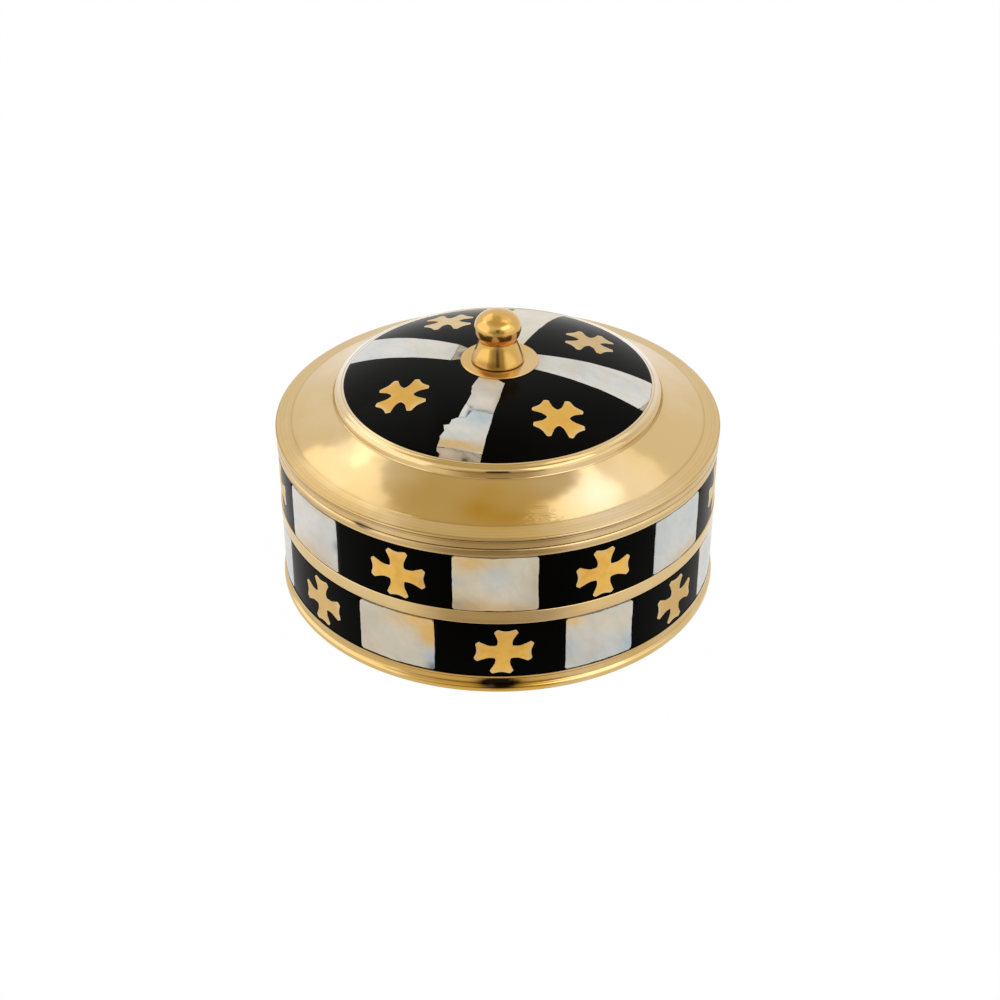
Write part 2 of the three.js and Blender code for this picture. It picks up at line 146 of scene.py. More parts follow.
def shell(rows, ring):
    """Points and faces of a closed shell, from a grid of points of shape (rows, columns, 3). Columns run
    round and meet. With ring, the rows meet too, and without it the first and last row are each one
    single point. The volume is the sum of a . (b x c) / 6 over the triangles: where it is negative, the
    faces are turned."""
    count, columns = rows.shape[:2]
    here = np.arange(columns)
    after = np.roll(here, -1)
    if ring:
        points = rows.reshape(-1, 3)
        start = np.arange(count)[:, None] * columns
        below = np.roll(start, -1, axis=0)
        fans = np.zeros((0, 3), int)
    else:
        points = np.concatenate([rows[:1, 0], rows[1:-1].reshape(-1, 3), rows[-1:, 0]])
        start = 1 + np.arange(count - 3)[:, None] * columns
        below = start + columns
        last = len(points) - 1
        top_fan = np.stack([0 * here, 1 + after, 1 + here], axis=-1)
        end_fan = np.stack([last - columns + here, last - columns + after, last + 0 * here], axis=-1)
        fans = np.concatenate([top_fan, end_fan])
    quads = np.stack([start + here, start + after, below + after, below + here], axis=-1).reshape(-1, 4)
    triangles = np.concatenate([quads[:, :3], quads[:, [0, 2, 3]], fans])
    a, b, c = points[triangles].transpose(1, 0, 2)
    if np.einsum("ij,ij->", a, np.cross(b, c)) < 0:
        quads = quads[:, ::-1]
        fans = fans[:, ::-1]
    return points, quads, fans


def make_piece(name, node, slot, shells):
    """One object from one or more shells, which rides with the solid's body and stands for that solid."""
    points = np.concatenate([part[0] for part in shells])
    offsets = np.cumsum([0] + [len(part[0]) for part in shells[:-1]])
    faces = []
    for (_, quads, fans), offset in zip(shells, offsets):
        faces += (quads + offset).tolist() + (fans + offset).tolist()
    mesh = bpy.data.meshes.new(name)
    mesh.from_pydata((points * MM).tolist(), [], faces)
    mesh.shade_smooth()
    mesh.set_sharp_from_angle(angle=math.radians(SHARP_EDGE))
    piece = bpy.data.objects.new(name, mesh)
    bpy.context.scene.collection.objects.link(piece)
    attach(piece, body_of[node])
    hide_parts(node)
    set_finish(piece, slot)


# %% [markdown]
# ## Turned brass
# A lathe cuts a profile into a spinning blank, so each brass ring is its profile carried round the axis.
# A profile is written here as a few corners, each with the distance over which it is eased, because a
# sharp corner has no highlight. Real polishing rounds each edge a little, and that thin bright line is
# what tells the eye that this is metal.

# %% Ease and turn a profile
TURNED_FACETS = 288
EASING_POINTS = 6


def eased(corners):
    """Rounds a closed outline of (x, y, easing) corners. Each corner is cut back by its easing along both
    its sides, and the cut is filled by the parabola (1-t)^2 start + 2t(1-t) corner + t^2 end. A corner
    with no easing stays one point."""
    corners = np.asarray(corners, float)
    corner, easing = corners[:, None, :2], corners[:, None, 2:]
    to_last = np.roll(corner, 1, axis=0) - corner
    to_next = np.roll(corner, -1, axis=0) - corner
    start = corner + to_last / np.linalg.norm(to_last, axis=-1, keepdims=True) * easing
    end = corner + to_next / np.linalg.norm(to_next, axis=-1, keepdims=True) * easing
    t = np.linspace(0, 1, EASING_POINTS)[None, :, None]
    points = ((1 - t) ** 2 * start + 2 * t * (1 - t) * corner + t**2 * end).reshape(-1, 2)
    return points[np.linalg.norm(points - np.roll(points, 1, axis=0), axis=1) > 1e-6]


def around_axis(radius, angle, height):
    """Points at an angle from the front towards +X: x = r sin(a), y = -r cos(a), z = height."""
    return np.stack([radius * np.sin(angle), -radius * np.cos(angle), height + 0 * angle], axis=-1)


def turned(profile, ring=True, facets=TURNED_FACETS, shift=0.0):
    """A profile of (radius, height) points carried round the axis, and then moved sideways by a shift."""
    angle = np.linspace(0, 2 * math.pi, facets, endpoint=False)
    radius, height = profile.T[:, :, None]
    return shell(around_axis(radius, angle, height) + (shift, 0, 0), ring)


print(f"a facet of the largest ring is {2 * math.pi * band_radius / TURNED_FACETS:.2f} mm wide")

# %% [markdown]
# ### The foot, the floor and the wall
# The foot has a round bead that stands on the table, a hollow above it, and a thin ledge under the first
# band. The floor lies on the foot's flange and the thin wall rises from it, up to a lip inside the lid.

# %% Foot, floor and wall
foot_bead = band_radius + 0.45
foot_hollow = band_radius - 0.35
foot_ledge = band_radius + 0.1
foot_bead_low, foot_bead_high = 0.35, 1.35
foot_cove_low, foot_cove_high = 2.2, 3.1
foot_ledge_low = 3.5
foot_inner_reach = 1.9
wall_inner, wall_outer = radii_of("box_wall")
wall_low, wall_high = heights_of("box_wall")
floor_low, floor_high = heights_of("base_plate")
flange_top = floor_low - 0.1
inlay_back = radii_of("middle_ring")[0] + 0.15

foot_profile = eased([
    (wall_inner - foot_inner_reach, 0, 0.1), (foot_bead - 0.6, 0, 0.3), (foot_bead, foot_bead_low, 0.35),
    (foot_bead, foot_bead_high, 0.4), (foot_hollow + 0.22, foot_cove_low - 0.42, 0.12),
    (foot_hollow + 0.05, foot_cove_low, 0.2), (foot_hollow, foot_cove_high, 0.25),
    (foot_ledge - 0.15, foot_ledge_low - 0.1, 0.1), (foot_ledge, foot_ledge_low, 0.05),
    (foot_ledge, foot_top, 0.06), (inlay_back, foot_top, 0.03), (inlay_back, flange_top, 0.03),
    (wall_inner - foot_inner_reach, flange_top, 0.1),
])
make_piece("turned_foot_ring", "foot_ring", "brass_polished", [turned(foot_profile)])

wall_profile = eased([
    (wall_inner, wall_low, 0.05), (wall_outer, wall_low, 0.05), (wall_outer, wall_high - 0.3, 0.1),
    (wall_outer - 0.3, wall_high, 0.1), (wall_inner, wall_high, 0.15),
])
make_piece("turned_wall", "box_wall", "brass_polished", [turned(wall_profile)])

floor_radius = wall_inner - 0.25
floor_profile = np.array([
    (0, floor_high), (floor_radius * 0.5, floor_high), (floor_radius - 0.15, floor_high),
    (floor_radius, floor_high - 0.15), (floor_radius, floor_low), (floor_radius * 0.5, floor_low),
    (0, floor_low),
])
make_piece("turned_floor", "base_plate", "brass_polished", [turned(floor_profile, ring=False)])
print(f"wall {wall_inner:.2f} to {wall_outer:.2f} mm in radius")
print(f"floor {floor_low:.2f} to {floor_high:.2f} mm high")

# %% [markdown]
# ### The two rings round the wall
# The middle ring parts the two bands, and the top ring carries the lid. Both stand a hair proud of the
# inlay. Their lower edges are rounder than their upper ones, as on the real box.

# %% Rings
ring_radius = band_radius + 0.1


def ring_profile(low, high, low_easing, high_easing):
    """A flat ring with its two outer edges rounded by their own amounts."""
    return eased([
        (inlay_back, low, 0.03), (ring_radius - low_easing, low, low_easing * 0.6),
        (ring_radius, low + low_easing, low_easing * 0.6), (ring_radius, (low + high) / 2, 0),
        (ring_radius, high - high_easing, high_easing * 0.6),
        (ring_radius - high_easing, high, high_easing * 0.6), (inlay_back, high, 0.03),
    ])


for name, limits, low_easing, high_easing in (("middle_ring", middle_ring, 0.3, 0.12),
                                              ("top_ring", top_ring, 0.15, 0.35)):
    ring_shell = turned(ring_profile(*limits, low_easing, high_easing))
    make_piece(f"turned_{name}", name, "brass_polished", [ring_shell])
    print(f"{name} {limits[1] - limits[0]:.2f} mm high")

# %% [markdown]
# ### The lid
# From its rim inwards the lid has an upright skirt, a rim bead with a groove under it, a nearly level
# land, a broad sloping shoulder that is slightly hollow, and a round bead that holds the inlay. The
# shoulder is a formula and the rest are eased corners, so both kinds of line run into one closed profile.

# %% Lid shell
DOME_EDGE = 43.8
DOME_RISE = 4.8
DOME_FULLNESS = 2.8
SHOULDER_FOOT = 41.8, 36.82
SHOULDER_RUN = 8.55
SHOULDER_RISE = 4.78
SHOULDER_HOLLOW = 0.22
recess_radius = 30.97
skirt_radius = band_radius + 0.05
rim_radius = band_radius + 0.22
lid_mouth = wall_outer + 0.3
groove_low = 35.42
rim_low, rim_top = 35.7, 36.22
land_inner = 42.0
bead_radius = 32.95
bead_low, bead_top = 41.5, 43.74


def dome_height(radius):
    """Height of the polished dome: its edge plus its rise times 1 minus a power of the radius' share."""
    return DOME_EDGE + DOME_RISE * (1 - np.abs(radius / recess_radius) ** DOME_FULLNESS)


def shoulder_line(count=30):
    """A straight slope less a shallow half wave: z = start + rise s - hollow sin(pi s)."""
    s = np.linspace(0, 1, count)
    radius, height = SHOULDER_FOOT
    hollow = SHOULDER_HOLLOW * np.sin(math.pi * s)
    return np.stack([radius - SHOULDER_RUN * s, height + SHOULDER_RISE * s - hollow], axis=-1)


def smooth(points):
    """Points of a smooth line, which need no easing."""
    return np.column_stack([points, np.zeros(len(points))])


inlay_depth = 1.45
boss_radius = 6.6
boss_top = heights_of("lid_shell")[1]
screw_hole = 1.8
pad_radius = 4.7
pad_bottom = heights_of("screw_washer")[1] + 0.1
lid_wall = 1.1
seat_radii = np.linspace(recess_radius, boss_radius, 16)[1:-1]
roof_radii = seat_radii[::-1]
outer_corners = np.concatenate([
    [(lid_mouth, skirt_bottom, 0.05), (skirt_radius - 0.18, skirt_bottom, 0.15)],
    [(skirt_radius, skirt_bottom + 0.22, 0.12), (skirt_radius, 34.3, 0), (skirt_radius, 34.8, 0)],
    [(skirt_radius, groove_low, 0.05), (skirt_radius - 0.24, groove_low + 0.08, 0.03)],
    [(skirt_radius - 0.22, rim_low - 0.08, 0.03), (rim_radius, rim_low, 0.06)],
    [(rim_radius, rim_top - 0.2, 0.12), (rim_radius - 0.35, rim_top, 0.15)],
    [(land_inner, SHOULDER_FOOT[1] - 0.04, 0.12)],
    smooth(shoulder_line()),
    [(bead_radius + 0.15, bead_low, 0.07), (bead_radius, bead_low + 0.2, 0.08)],
    [(bead_radius - 0.1, bead_top - 1.04, 0.35), (bead_radius - 0.6, bead_top - 0.36, 0.35)],
    [(recess_radius + 0.63, bead_top, 0.1), (recess_radius + 0.48, bead_top - 0.1, 0.04)],
    [(recess_radius + 0.35, bead_top, 0.04), (recess_radius, DOME_EDGE, 0.08)],
])
inner_corners = np.concatenate([
    [(recess_radius, DOME_EDGE - inlay_depth, 0.05)],
    smooth(np.column_stack([seat_radii, dome_height(seat_radii) - inlay_depth])),
    [(boss_radius, dome_height(boss_radius) - inlay_depth, 0.05), (boss_radius, boss_top, 0.05)],
    [(screw_hole, boss_top, 0.05), (screw_hole, pad_bottom, 0.05), (pad_radius, pad_bottom, 0.1)],
    smooth(np.column_stack([roof_radii, dome_height(roof_radii) - inlay_depth - lid_wall]))[2:],
    smooth(shoulder_line(12)[::-1] - (0, 1.26))[:-1],
    [(lid_mouth, 35.05, 0.2)],
])
lid_profile = eased(np.concatenate([outer_corners, inner_corners]))
make_piece("turned_lid", "lid_shell", "brass_polished", [turned(lid_profile)])
print(f"lid profile of {len(lid_profile)} points, dome from {DOME_EDGE} to {dome_height(0):.2f} mm")

# %% [markdown]
# ### The knob, its collar, the screw and the washer
# The knob has a flared skirt with a rounded lip and a flattened ball that is fuller below its middle than
# above it. The ball is two quarter ellipses of one width. The collar is a thin disc whose hole is loose,
# so it sits a little off the middle.

# %% Knob and collar
KNOB_FACETS = 128
neck_radius = 3.82
ball_radius = 4.68
base_radius = 5.3
skirt_top = knob_low + 4.6
neck_top = skirt_top + 0.1
ball_under = 4.6
ball_crown = 3.3
neck_angle = math.acos(neck_radius / ball_radius)
ball_middle = neck_top + ball_under * math.sin(neck_angle)
print(f"ball middle at {ball_middle:.2f} mm, crown at {ball_middle + ball_crown:.2f} mm")


def knob_outline():
    """The skirt is neck + flare (1-s)^1.25 wide. The ball is radius cos(a) wide and half height sin(a)
    high."""
    s = np.linspace(0, 1, 16)[1:]
    skirt_low = knob_low + 0.35
    skirt = np.stack([neck_radius + (base_radius - neck_radius) * (1 - s) ** 1.25,
                      skirt_low + (skirt_top - skirt_low) * s], axis=-1)
    angle = np.linspace(-neck_angle, math.pi / 2, 40)
    half = np.where(angle < 0, ball_under, ball_crown)
    ball = np.stack([ball_radius * np.cos(angle), ball_middle + half * np.sin(angle)], axis=-1)
    lip = np.array([(base_radius - 0.15, knob_low), (base_radius, knob_low + 0.12),
                    (base_radius, knob_low + 0.25), (base_radius - 0.05, knob_low + 0.38)])
    hole_top = knob_low + 4.3
    hole = np.array([(0, hole_top), (screw_hole, hole_top), (screw_hole, knob_low)])
    return np.concatenate([hole, lip, skirt, ball[:-1], [(0, ball_middle + ball_crown)]])


make_piece("turned_knob", "knob", "brass_knob", [turned(knob_outline(), ring=False, facets=KNOB_FACETS)])

collar_radius = 7.8
collar_hole = 2.2
collar_shift = 0.35
collar_profile = eased([
    (collar_hole, collar_low, 0.03), (collar_radius, collar_low, 0.05),
    (collar_radius, collar_high - 0.1, 0.08), (collar_radius - 0.2, collar_high, 0.08),
    (collar_hole, collar_high, 0.03),
])
collar = turned(collar_profile, facets=KNOB_FACETS, shift=collar_shift)
make_piece("turned_collar", "knob_collar", "brass_knob", [collar])

# %% [markdown]
# The screw comes up through the washer and the lid into the knob. Its head is seen only from below, with
# the lid off. A slot is a straight cut in a round head, which a turned profile can't give. So the head is
# a grid of rings whose points are raised to the slot's floor wherever the distance across is small.

# %% Screw and washer
screw_low, screw_high = heights_of("knob_screw")
head_top = heights_of("screw_washer")[0] - 0.1
slot_half_width = 0.4
slot_depth = 0.9
head_radius = 2.9
shank_radius = 1.5


def slotted_screw():
    """Rings of a screw and its head, whose face lies deeper by the slot's depth where the distance across
    is under the slot's half width. Some columns of points lie on the slot's edges."""
    angle = np.linspace(0, 2 * math.pi, 96, endpoint=False)
    edge = math.asin(slot_half_width / head_radius)
    walls = np.array([edge, edge + 0.004, -edge, -edge - 0.004])
    angle = np.unique(np.round(np.concatenate([angle, walls, walls + math.pi]) % (2 * math.pi), 5))
    in_slot = np.abs(head_radius * np.sin(angle)) < slot_half_width + 1e-3
    side = [(0, screw_high), (shank_radius, screw_high), (shank_radius, head_top), (head_radius, head_top),
            (head_radius, screw_low + 0.35), (head_radius - 0.2, screw_low), (0.6, screw_low), (0.6, 0),
            (0, 0)]
    radius, height = np.array(side).T[:, :, None] + 0 * angle
    floor = screw_low + slot_depth
    height[4:7] = np.where(in_slot, floor, height[4:7])
    height[7:] = floor
    return shell(around_axis(radius, angle + math.pi / 2, height), ring=False)


make_piece("slotted_screw", "knob_screw", "brass_polished", [slotted_screw()])
washer_low, washer_high = heights_of("screw_washer")
washer_radius = 3.7
washer_profile = eased([(screw_hole, washer_low, 0.05), (washer_radius, washer_low, 0.15),
                        (washer_radius, washer_high, 0.15), (screw_hole, washer_high, 0.05)])
make_piece("turned_washer", "screw_washer", "brass_polished", [turned(washer_profile, facets=KNOB_FACETS)])

# %% [markdown]
# ## Inlaid pieces
# A pearl tile, a cross and a field of resin are all flat shapes bent onto the wall or the dome. Each has
# an outline in flat plan. From its middle, rays go out to the outline, and rings at growing shares of
# each ray make the face. The same rings run down the edge and back underneath. A field of resin starts at
# the outline of its cross instead of at its middle, so the cross has a true window. Cutting the shapes
# out of a block with a boolean would work too, but it leaves long thin faces that shade badly on a bent
# surface.

# %% Rays, rings and plates
FACE_SHARE = 0.99
EDGE_DROP = 0.05


def cross_product(p, q):
    """Of two arrays of plan vectors: px qy - py qx."""
    return p[..., 0] * q[..., 1] - p[..., 1] * q[..., 0]


def reach(middle, angles, outline):
    """Distance from a point to a closed outline along rays. A ray m + t d meets the side from a to b,
    with e = b - a, at t = (a - m) x e / (d x e), and at the share s = (a - m) x d / (d x e) of that
    side."""
    start = outline - middle
    side = np.roll(outline, -1, axis=0) - outline
    ray = np.stack([np.cos(angles), np.sin(angles)], axis=-1)[:, None]
    facing = cross_product(ray, side[None])
    facing = np.where(np.abs(facing) < 1e-12, 1e-12, facing)
    distance = cross_product(start, side) / facing
    share = cross_product(start[None], ray) / facing
    met = (share > -1e-6) & (share < 1 + 1e-6) & (distance > 0)
    return np.where(met, distance, np.inf).min(axis=1)


def plate(outline, middle, place, thickness, window=None, sink=0.0, rays=160, rings=8):
    """A plate bent onto a surface. Its face is rings at even shares of the rays from the middle, or from
    the window, to the outline. The last ring is a little lower, which eases the edge, and the back
    follows."""
    middle = np.asarray(middle, float)
    corners = (outline if window is None else np.concatenate([outline, window])) - middle
    angles = np.concatenate([np.linspace(0, 2 * math.pi, rays), np.arctan2(corners[:, 1], corners[:, 0])])
    angles = np.unique(np.round(angles % (2 * math.pi), 3))
    angles = angles[angles < 2 * math.pi - 0.002]
    outer = reach(middle, angles, outline)
    inner = 0 * outer if window is None else reach(middle, angles, window)
    share = np.concatenate([np.linspace(0, FACE_SHARE, rings), [1, 1, FACE_SHARE, 0]])[:, None]
    depth = np.concatenate([np.zeros(rings), [EDGE_DROP, thickness, thickness, thickness]])[:, None] + sink
    ray = np.stack([np.cos(angles), np.sin(angles)], axis=-1)
    plan = middle + (inner + (outer - inner) * share)[..., None] * ray
    return shell(place(plan[..., 0], plan[..., 1], depth), ring=window is not None)


def on_wall(turn):
    """Bends a plan onto the wall: across becomes an angle of across / radius, and height stays."""

    def place(across, height, depth):
        return around_axis(band_radius - depth, turn + across / band_radius, height)

    return place


def on_dome(x, y, depth):
    """Lays a plan on the dome: x and y stay, and z is the dome's height there less the depth."""
    return np.stack([x + 0 * depth, y + 0 * depth, dome_height(np.hypot(x, y)) - depth], axis=-1)


# %% [markdown]
# ### Outlines
# The crosses were sawn by hand from sheet brass. Each arm is narrow at the middle and ends in two ears
# with a dip between them, and one cross leans a little. The pearl was snapped and filed, so its edges
# wander: a few waves of seeded phase, added to an outline, give each piece an edge of its own.

# %% Outlines of crosses and pearl
ARM_WAIST = 1.4
ARM_ROOT = 1.45
EAR_WIDTH = 2.42
EAR_TIP = 1.8


def turning(angle):
    """The matrix that turns rows of plan points by an angle."""
    return np.array([(math.cos(angle), math.sin(angle)), (-math.sin(angle), math.cos(angle))])


def cross_outline(reach_across, reach_up, grow=0.0, lean=0.0):
    """One side of an arm is three eased corners. It is mirrored for the other side and turned for each
    arm. A lean moves the upper arm towards +x and the lower one towards -x: x = x + lean y."""
    outline = []
    for quarter, length in enumerate((reach_across, reach_up, reach_across, reach_up)):
        side = np.array([(length * 0.56, ARM_WAIST, 0.8), (length - 0.85, EAR_WIDTH, 0.28),
                         (length + 0.05, EAR_TIP, 0.4)])
        side[:, :2] += (grow / 2, grow)
        notch = np.array([(length - 0.5 + grow, 0, 0.9)])
        inner = np.array([(ARM_ROOT + grow, ARM_ROOT + grow, 0.5)])
        arm = np.concatenate([side * (1, -1, 1), notch, side[::-1], inner])
        outline.append(np.column_stack([arm[:, :2] @ turning(quarter * math.pi / 2), arm[:, 2]]))
    return eased(np.concatenate(outline)) @ np.array([(1, 0), (lean, 1)])


def divided(outline, parts=24):
    """Splits each side of a closed outline into equal parts."""
    share = np.arange(parts)[None, :, None] / parts
    following = np.roll(outline, -1, axis=0)
    return (outline[:, None] * (1 - share) + following[:, None] * share).reshape(-1, 2)


def hand_cut(outline, wander, seed, waves=(4, 7, 13, 22, 37)):
    """Moves an outline in and out from its middle by a sum of sine waves of falling size and seeded
    phase."""
    outline = divided(np.asarray(outline, float))
    from_middle = outline - outline.mean(axis=0)
    distance = np.linalg.norm(from_middle, axis=1, keepdims=True)
    angle = np.arctan2(from_middle[:, 1], from_middle[:, 0])[:, None]
    phase = np.random.default_rng(seed).uniform(0, 2 * math.pi, len(waves))
    size = 1 / np.sqrt(np.array(waves))
    wave = (np.sin(np.array(waves) * angle + phase) * size).sum(axis=1, keepdims=True)
    return outline + from_middle / distance * wave * wander


print("points in the outline of a cross:", len(cross_outline(5, 5)))

# %% [markdown]
# ### The two bands of the wall
# Each band holds seven tiles and seven crosses in turn. A tile fills the band from ring to ring. The
# black between two tiles is one field of resin with a window for its cross, and a thin bed of the same
# resin lies behind everything, so the hairline joints look black.

# %% Bands
TILES = 7
JOINT = 0.05
RESIN_SINK = 0.02
inlay_thickness = 1.1
bed_thickness = 0.25
tile_top_gap = 0.16
tile_corner = 0.4
tile_wander = 0.09
leans = {"lower_cross_1": 0.1}


def add_band(band, limits):
    """Adds the tiles, the crosses and the resin of one band."""
    low, high = limits
    seats = [seat_of(f"{band}_pearl_tile_{index}") for index in range(1, TILES + 1)]
    fields = []
    thickness = inlay_thickness - bed_thickness
    for index in range(1, TILES + 1):
        turn, half_width, _, _ = seats[index - 1]
        top = high - tile_top_gap
        across = half_width - tile_corner
        clipped = [(-across, low + JOINT), (across, low + JOINT), (half_width, low + tile_corner),
                   (half_width, top - tile_corner), (across, top), (-across, top),
                   (-half_width, top - tile_corner), (-half_width, low + tile_corner)]
        outline = hand_cut(clipped, tile_wander, seed=10 * index + len(band))
        tile = plate(outline, (0, (low + top) / 2), on_wall(turn), thickness, rings=24)
        make_piece(f"laid_{band}_tile_{index}", f"{band}_pearl_tile_{index}", "mother_of_pearl", [tile])
    for index in range(1, TILES + 1):
        turn, half_width, height, half_height = seat_of(f"{band}_cross_{index}")
        lean = leans.get(f"{band}_cross_{index}", 0.0)
        cross = cross_outline(half_width, half_height, lean=lean) + (0, height)
        piece = plate(cross, (0, height), on_wall(turn), inlay_thickness)
        make_piece(f"sawn_{band}_cross_{index}", f"{band}_cross_{index}", "brass_cross", [piece])
        edges = []
        for side in (-1, 1):
            gaps = [(side * (seat[0] - turn)) % (2 * math.pi) * band_radius - seat[1] for seat in seats]
            edges.append(side * min(gaps))
        left, right = edges
        field = divided(np.array([(left, low), (right, low), (right, high), (left, high)]))
        window = cross_outline(half_width, half_height, JOINT, lean) + (0, height)
        fields.append(plate(field, (0, height), on_wall(turn), thickness, window, RESIN_SINK,
                            rays=240, rings=10))
    bed = eased([(inlay_back, low, 0.03), (inlay_back + bed_thickness, low, 0.03),
                 (inlay_back + bed_thickness, high, 0.03), (inlay_back, high, 0.03)])
    make_piece(f"poured_{band}_resin", f"{band}_resin_band", "black_resin", fields + [turned(bed)])
    print(f"{band} band: tiles at {[round(math.degrees(seat[0]), 1) for seat in seats]} degrees")


add_band("upper", upper_band)
add_band("lower", lower_band)

# %% [markdown]
# ### The inlay of the lid
# Four strips of pearl run from the collar to the bead, and between them lie four fields of resin with a
# cross each. The front strip is pieced from four scraps and has ragged edges, and resin fills the gaps
# beside them. A strip is drawn along and across its own ray from the axis.

# %% Lid inlay
HUB = 6.95
RIM = recess_radius - 0.05
FRONT, RIGHT, BACK, LEFT = -14.4, 77.6, 163.0, 247.2
strip_inner = 2.95
strip_outer = 5.4
lid_inlay_thickness = 1.2


def ray_point(degrees, along, across):
    """Plan position of points given along and across a ray from the axis."""
    angle = math.radians(degrees)
    along, across = np.asarray(along, float), np.asarray(across, float)
    return np.stack([along * math.sin(angle) + across * math.cos(angle),
                     across * math.sin(angle) - along * math.cos(angle)], axis=-1)


def strip_side(along):
    """Half width of a strip, which grows evenly from the collar to the bead."""
    return strip_inner + (strip_outer - strip_inner) * (along - HUB) / (RIM - HUB)


def trimmed(outline):
    """Pulls points that lie past the bead back onto the inlay's rim."""
    radius = np.linalg.norm(outline, axis=1, keepdims=True)
    return outline * np.minimum(1, RIM / radius)


def add_scrap(name, node, slot, degrees, outline, wander, seed):
    """One piece of shell in a strip, with a hand-cut edge."""
    along, across = np.array(outline, float).T
    plan = trimmed(hand_cut(ray_point(degrees, along, across), wander, seed))
    make_piece(name, node, slot, [plate(plan, plan.mean(axis=0), on_dome, lid_inlay_thickness, rings=20)])


inner_joint = 9.7
sliver_joint = RIM - 1.4
past_rim = RIM + 1.5
add_scrap("laid_front_inner", "front_pearl_inner", "mother_of_pearl", FRONT, [
    (HUB, -1.9), (10.9, -2.45), (11.8, -2.2), (13.5, -1.9), (16.4, -2.0), (17.45, -1.3), (18.1, -0.3),
    (18.55, 3.9), (14.4, 3.9), (9.9, 3.65), (8.4, 3.6), (7.5, 1.9), (HUB, 1.8)], 0.06, 1)
add_scrap("laid_front_chip", "front_pearl_chip", "mother_of_pearl", FRONT, [
    (16.45, -2.03), (18.5, -2.32), (20.8, -2.45), (20.5, -1.05), (18.15, -0.35), (17.48, -1.35)], 0.03, 2)
add_scrap("laid_front_middle", "front_pearl_middle", "mother_of_pearl", FRONT, [
    (20.85, -2.5), (21.6, -3.6), (22.9, -3.75), (23.2, -4.8), (24.6, -4.2), (26.0, -4.7), (26.5, -4.5),
    (28.5, -4.65), (28.5, -0.8), (28.9, 4.35), (24.5, 4.2), (19.5, 4.0), (18.6, 3.93), (18.18, -0.25),
    (20.55, -0.95)], 0.06, 3)
add_scrap("laid_front_end", "front_pearl_end", "grey_shell", FRONT, [
    (28.6, -4.6), (29.5, -4.4), (30.0, -3.7), (past_rim, -3.7), (past_rim, 4.6), (29.0, 4.35),
    (28.6, -0.8)], 0.05, 4)
narrow, wide = strip_side(HUB), strip_side(past_rim)
add_scrap("laid_right_strip", "right_pearl_strip", "mother_of_pearl", RIGHT, [
    (HUB, -narrow + 1.2), (sliver_joint, -wide), (past_rim, 3.4), (past_rim, wide),
    (HUB, narrow + 1.2)], 0.07, 5)
add_scrap("laid_right_sliver", "right_pearl_sliver", "grey_shell", RIGHT, [
    (sliver_joint + 0.1, -wide), (past_rim, -wide), (past_rim, 3.2)], 0.03, 6)
add_scrap("laid_back_strip", "back_pearl_strip", "mother_of_pearl", BACK, [
    (HUB, -narrow), (past_rim, -wide), (past_rim, wide), (HUB, narrow)], 0.08, 7)
add_scrap("laid_left_strip", "left_pearl_strip", "mother_of_pearl", LEFT, [
    (inner_joint, -narrow - 0.2), (past_rim, -wide), (past_rim, wide),
    (inner_joint - 1, narrow + 0.5)], 0.08, 8)
add_scrap("laid_left_inner", "left_pearl_inner", "grey_shell", LEFT, [
    (HUB, -narrow + 0.8), (inner_joint - 0.1, -narrow - 0.2), (inner_joint - 1.1, narrow + 0.5),
    (HUB, narrow - 0.6)], 0.08, 9)

# %% [markdown]
# A field of resin lies between two strips, the collar and the bead. Its outline is two straight sides
# that go a little way under the pearl, and two arcs about the axis.

# %% Lid fields and crosses
UNDER_PEARL = 0.3
lid_quarters = {
    "front_right": {"from": (FRONT, 2.0, 4.4), "to": (RIGHT, -1.75, -5.4), "turn": 47.7, "reach": 5.3},
    "back_right": {"from": (RIGHT, 4.15, 5.4), "to": (BACK, -2.95, -5.4), "turn": 40.9, "reach": 5.2},
    "back_left": {"from": (BACK, 2.95, 5.4), "to": (LEFT, -2.95, -5.4), "turn": 38.8, "reach": 5.2},
    "front_left": {"from": (LEFT, 2.95, 5.4), "to": (FRONT, -1.2, -3.6), "turn": 37.7, "reach": 5.3},
}


def arc(radius, start, end, count=40):
    """Points of an arc about the axis between the directions of two points, the short way round."""
    first = math.atan2(start[1], start[0])
    turn = short_turn(math.atan2(end[1], end[0]) - first)
    angle = first + turn * np.linspace(0, 1, count)
    return radius * np.stack([np.cos(angle), np.sin(angle)], axis=-1)


for name, quarter in lid_quarters.items():
    middle = corners_of(f"lid_cross_{name}").T[:2]
    middle = (middle.max(axis=1) + middle.min(axis=1)) / 2
    turn, length = turning(math.radians(quarter["turn"])), quarter["reach"]
    cross = cross_outline(length, length) @ turn + middle
    window = cross_outline(length, length, grow=JOINT) @ turn + middle
    make_piece(f"sawn_lid_cross_{name}", f"lid_cross_{name}", "brass_cross",
               [plate(cross, middle, on_dome, lid_inlay_thickness)])
    (from_ray, from_near, from_far), (to_ray, to_near, to_far) = quarter["from"], quarter["to"]
    hub_arc = arc(HUB, ray_point(to_ray, HUB, to_near + UNDER_PEARL),
                  ray_point(from_ray, HUB, from_near - UNDER_PEARL))
    rim_arc = arc(RIM, ray_point(from_ray, RIM, from_far - UNDER_PEARL),
                  ray_point(to_ray, RIM, to_far + UNDER_PEARL))
    field = np.concatenate([hub_arc, rim_arc])
    make_piece(f"poured_lid_resin_{name}", f"lid_resin_{name}", "black_resin",
               [plate(field, middle, on_dome, lid_inlay_thickness, window, RESIN_SINK, rays=320, rings=24)])
    print(f"{name}: cross at {np.round(middle, 2)} mm")

# %% [markdown]
# ## Finishes
# Each finish is a small net of nodes on the Principled shader. Its constants are set on the shader
# itself, and only what changes over the surface is linked to it. Patterns read Object coordinates, which
# are metres on this box, so a scale of 1000 gives features of about a millimetre.

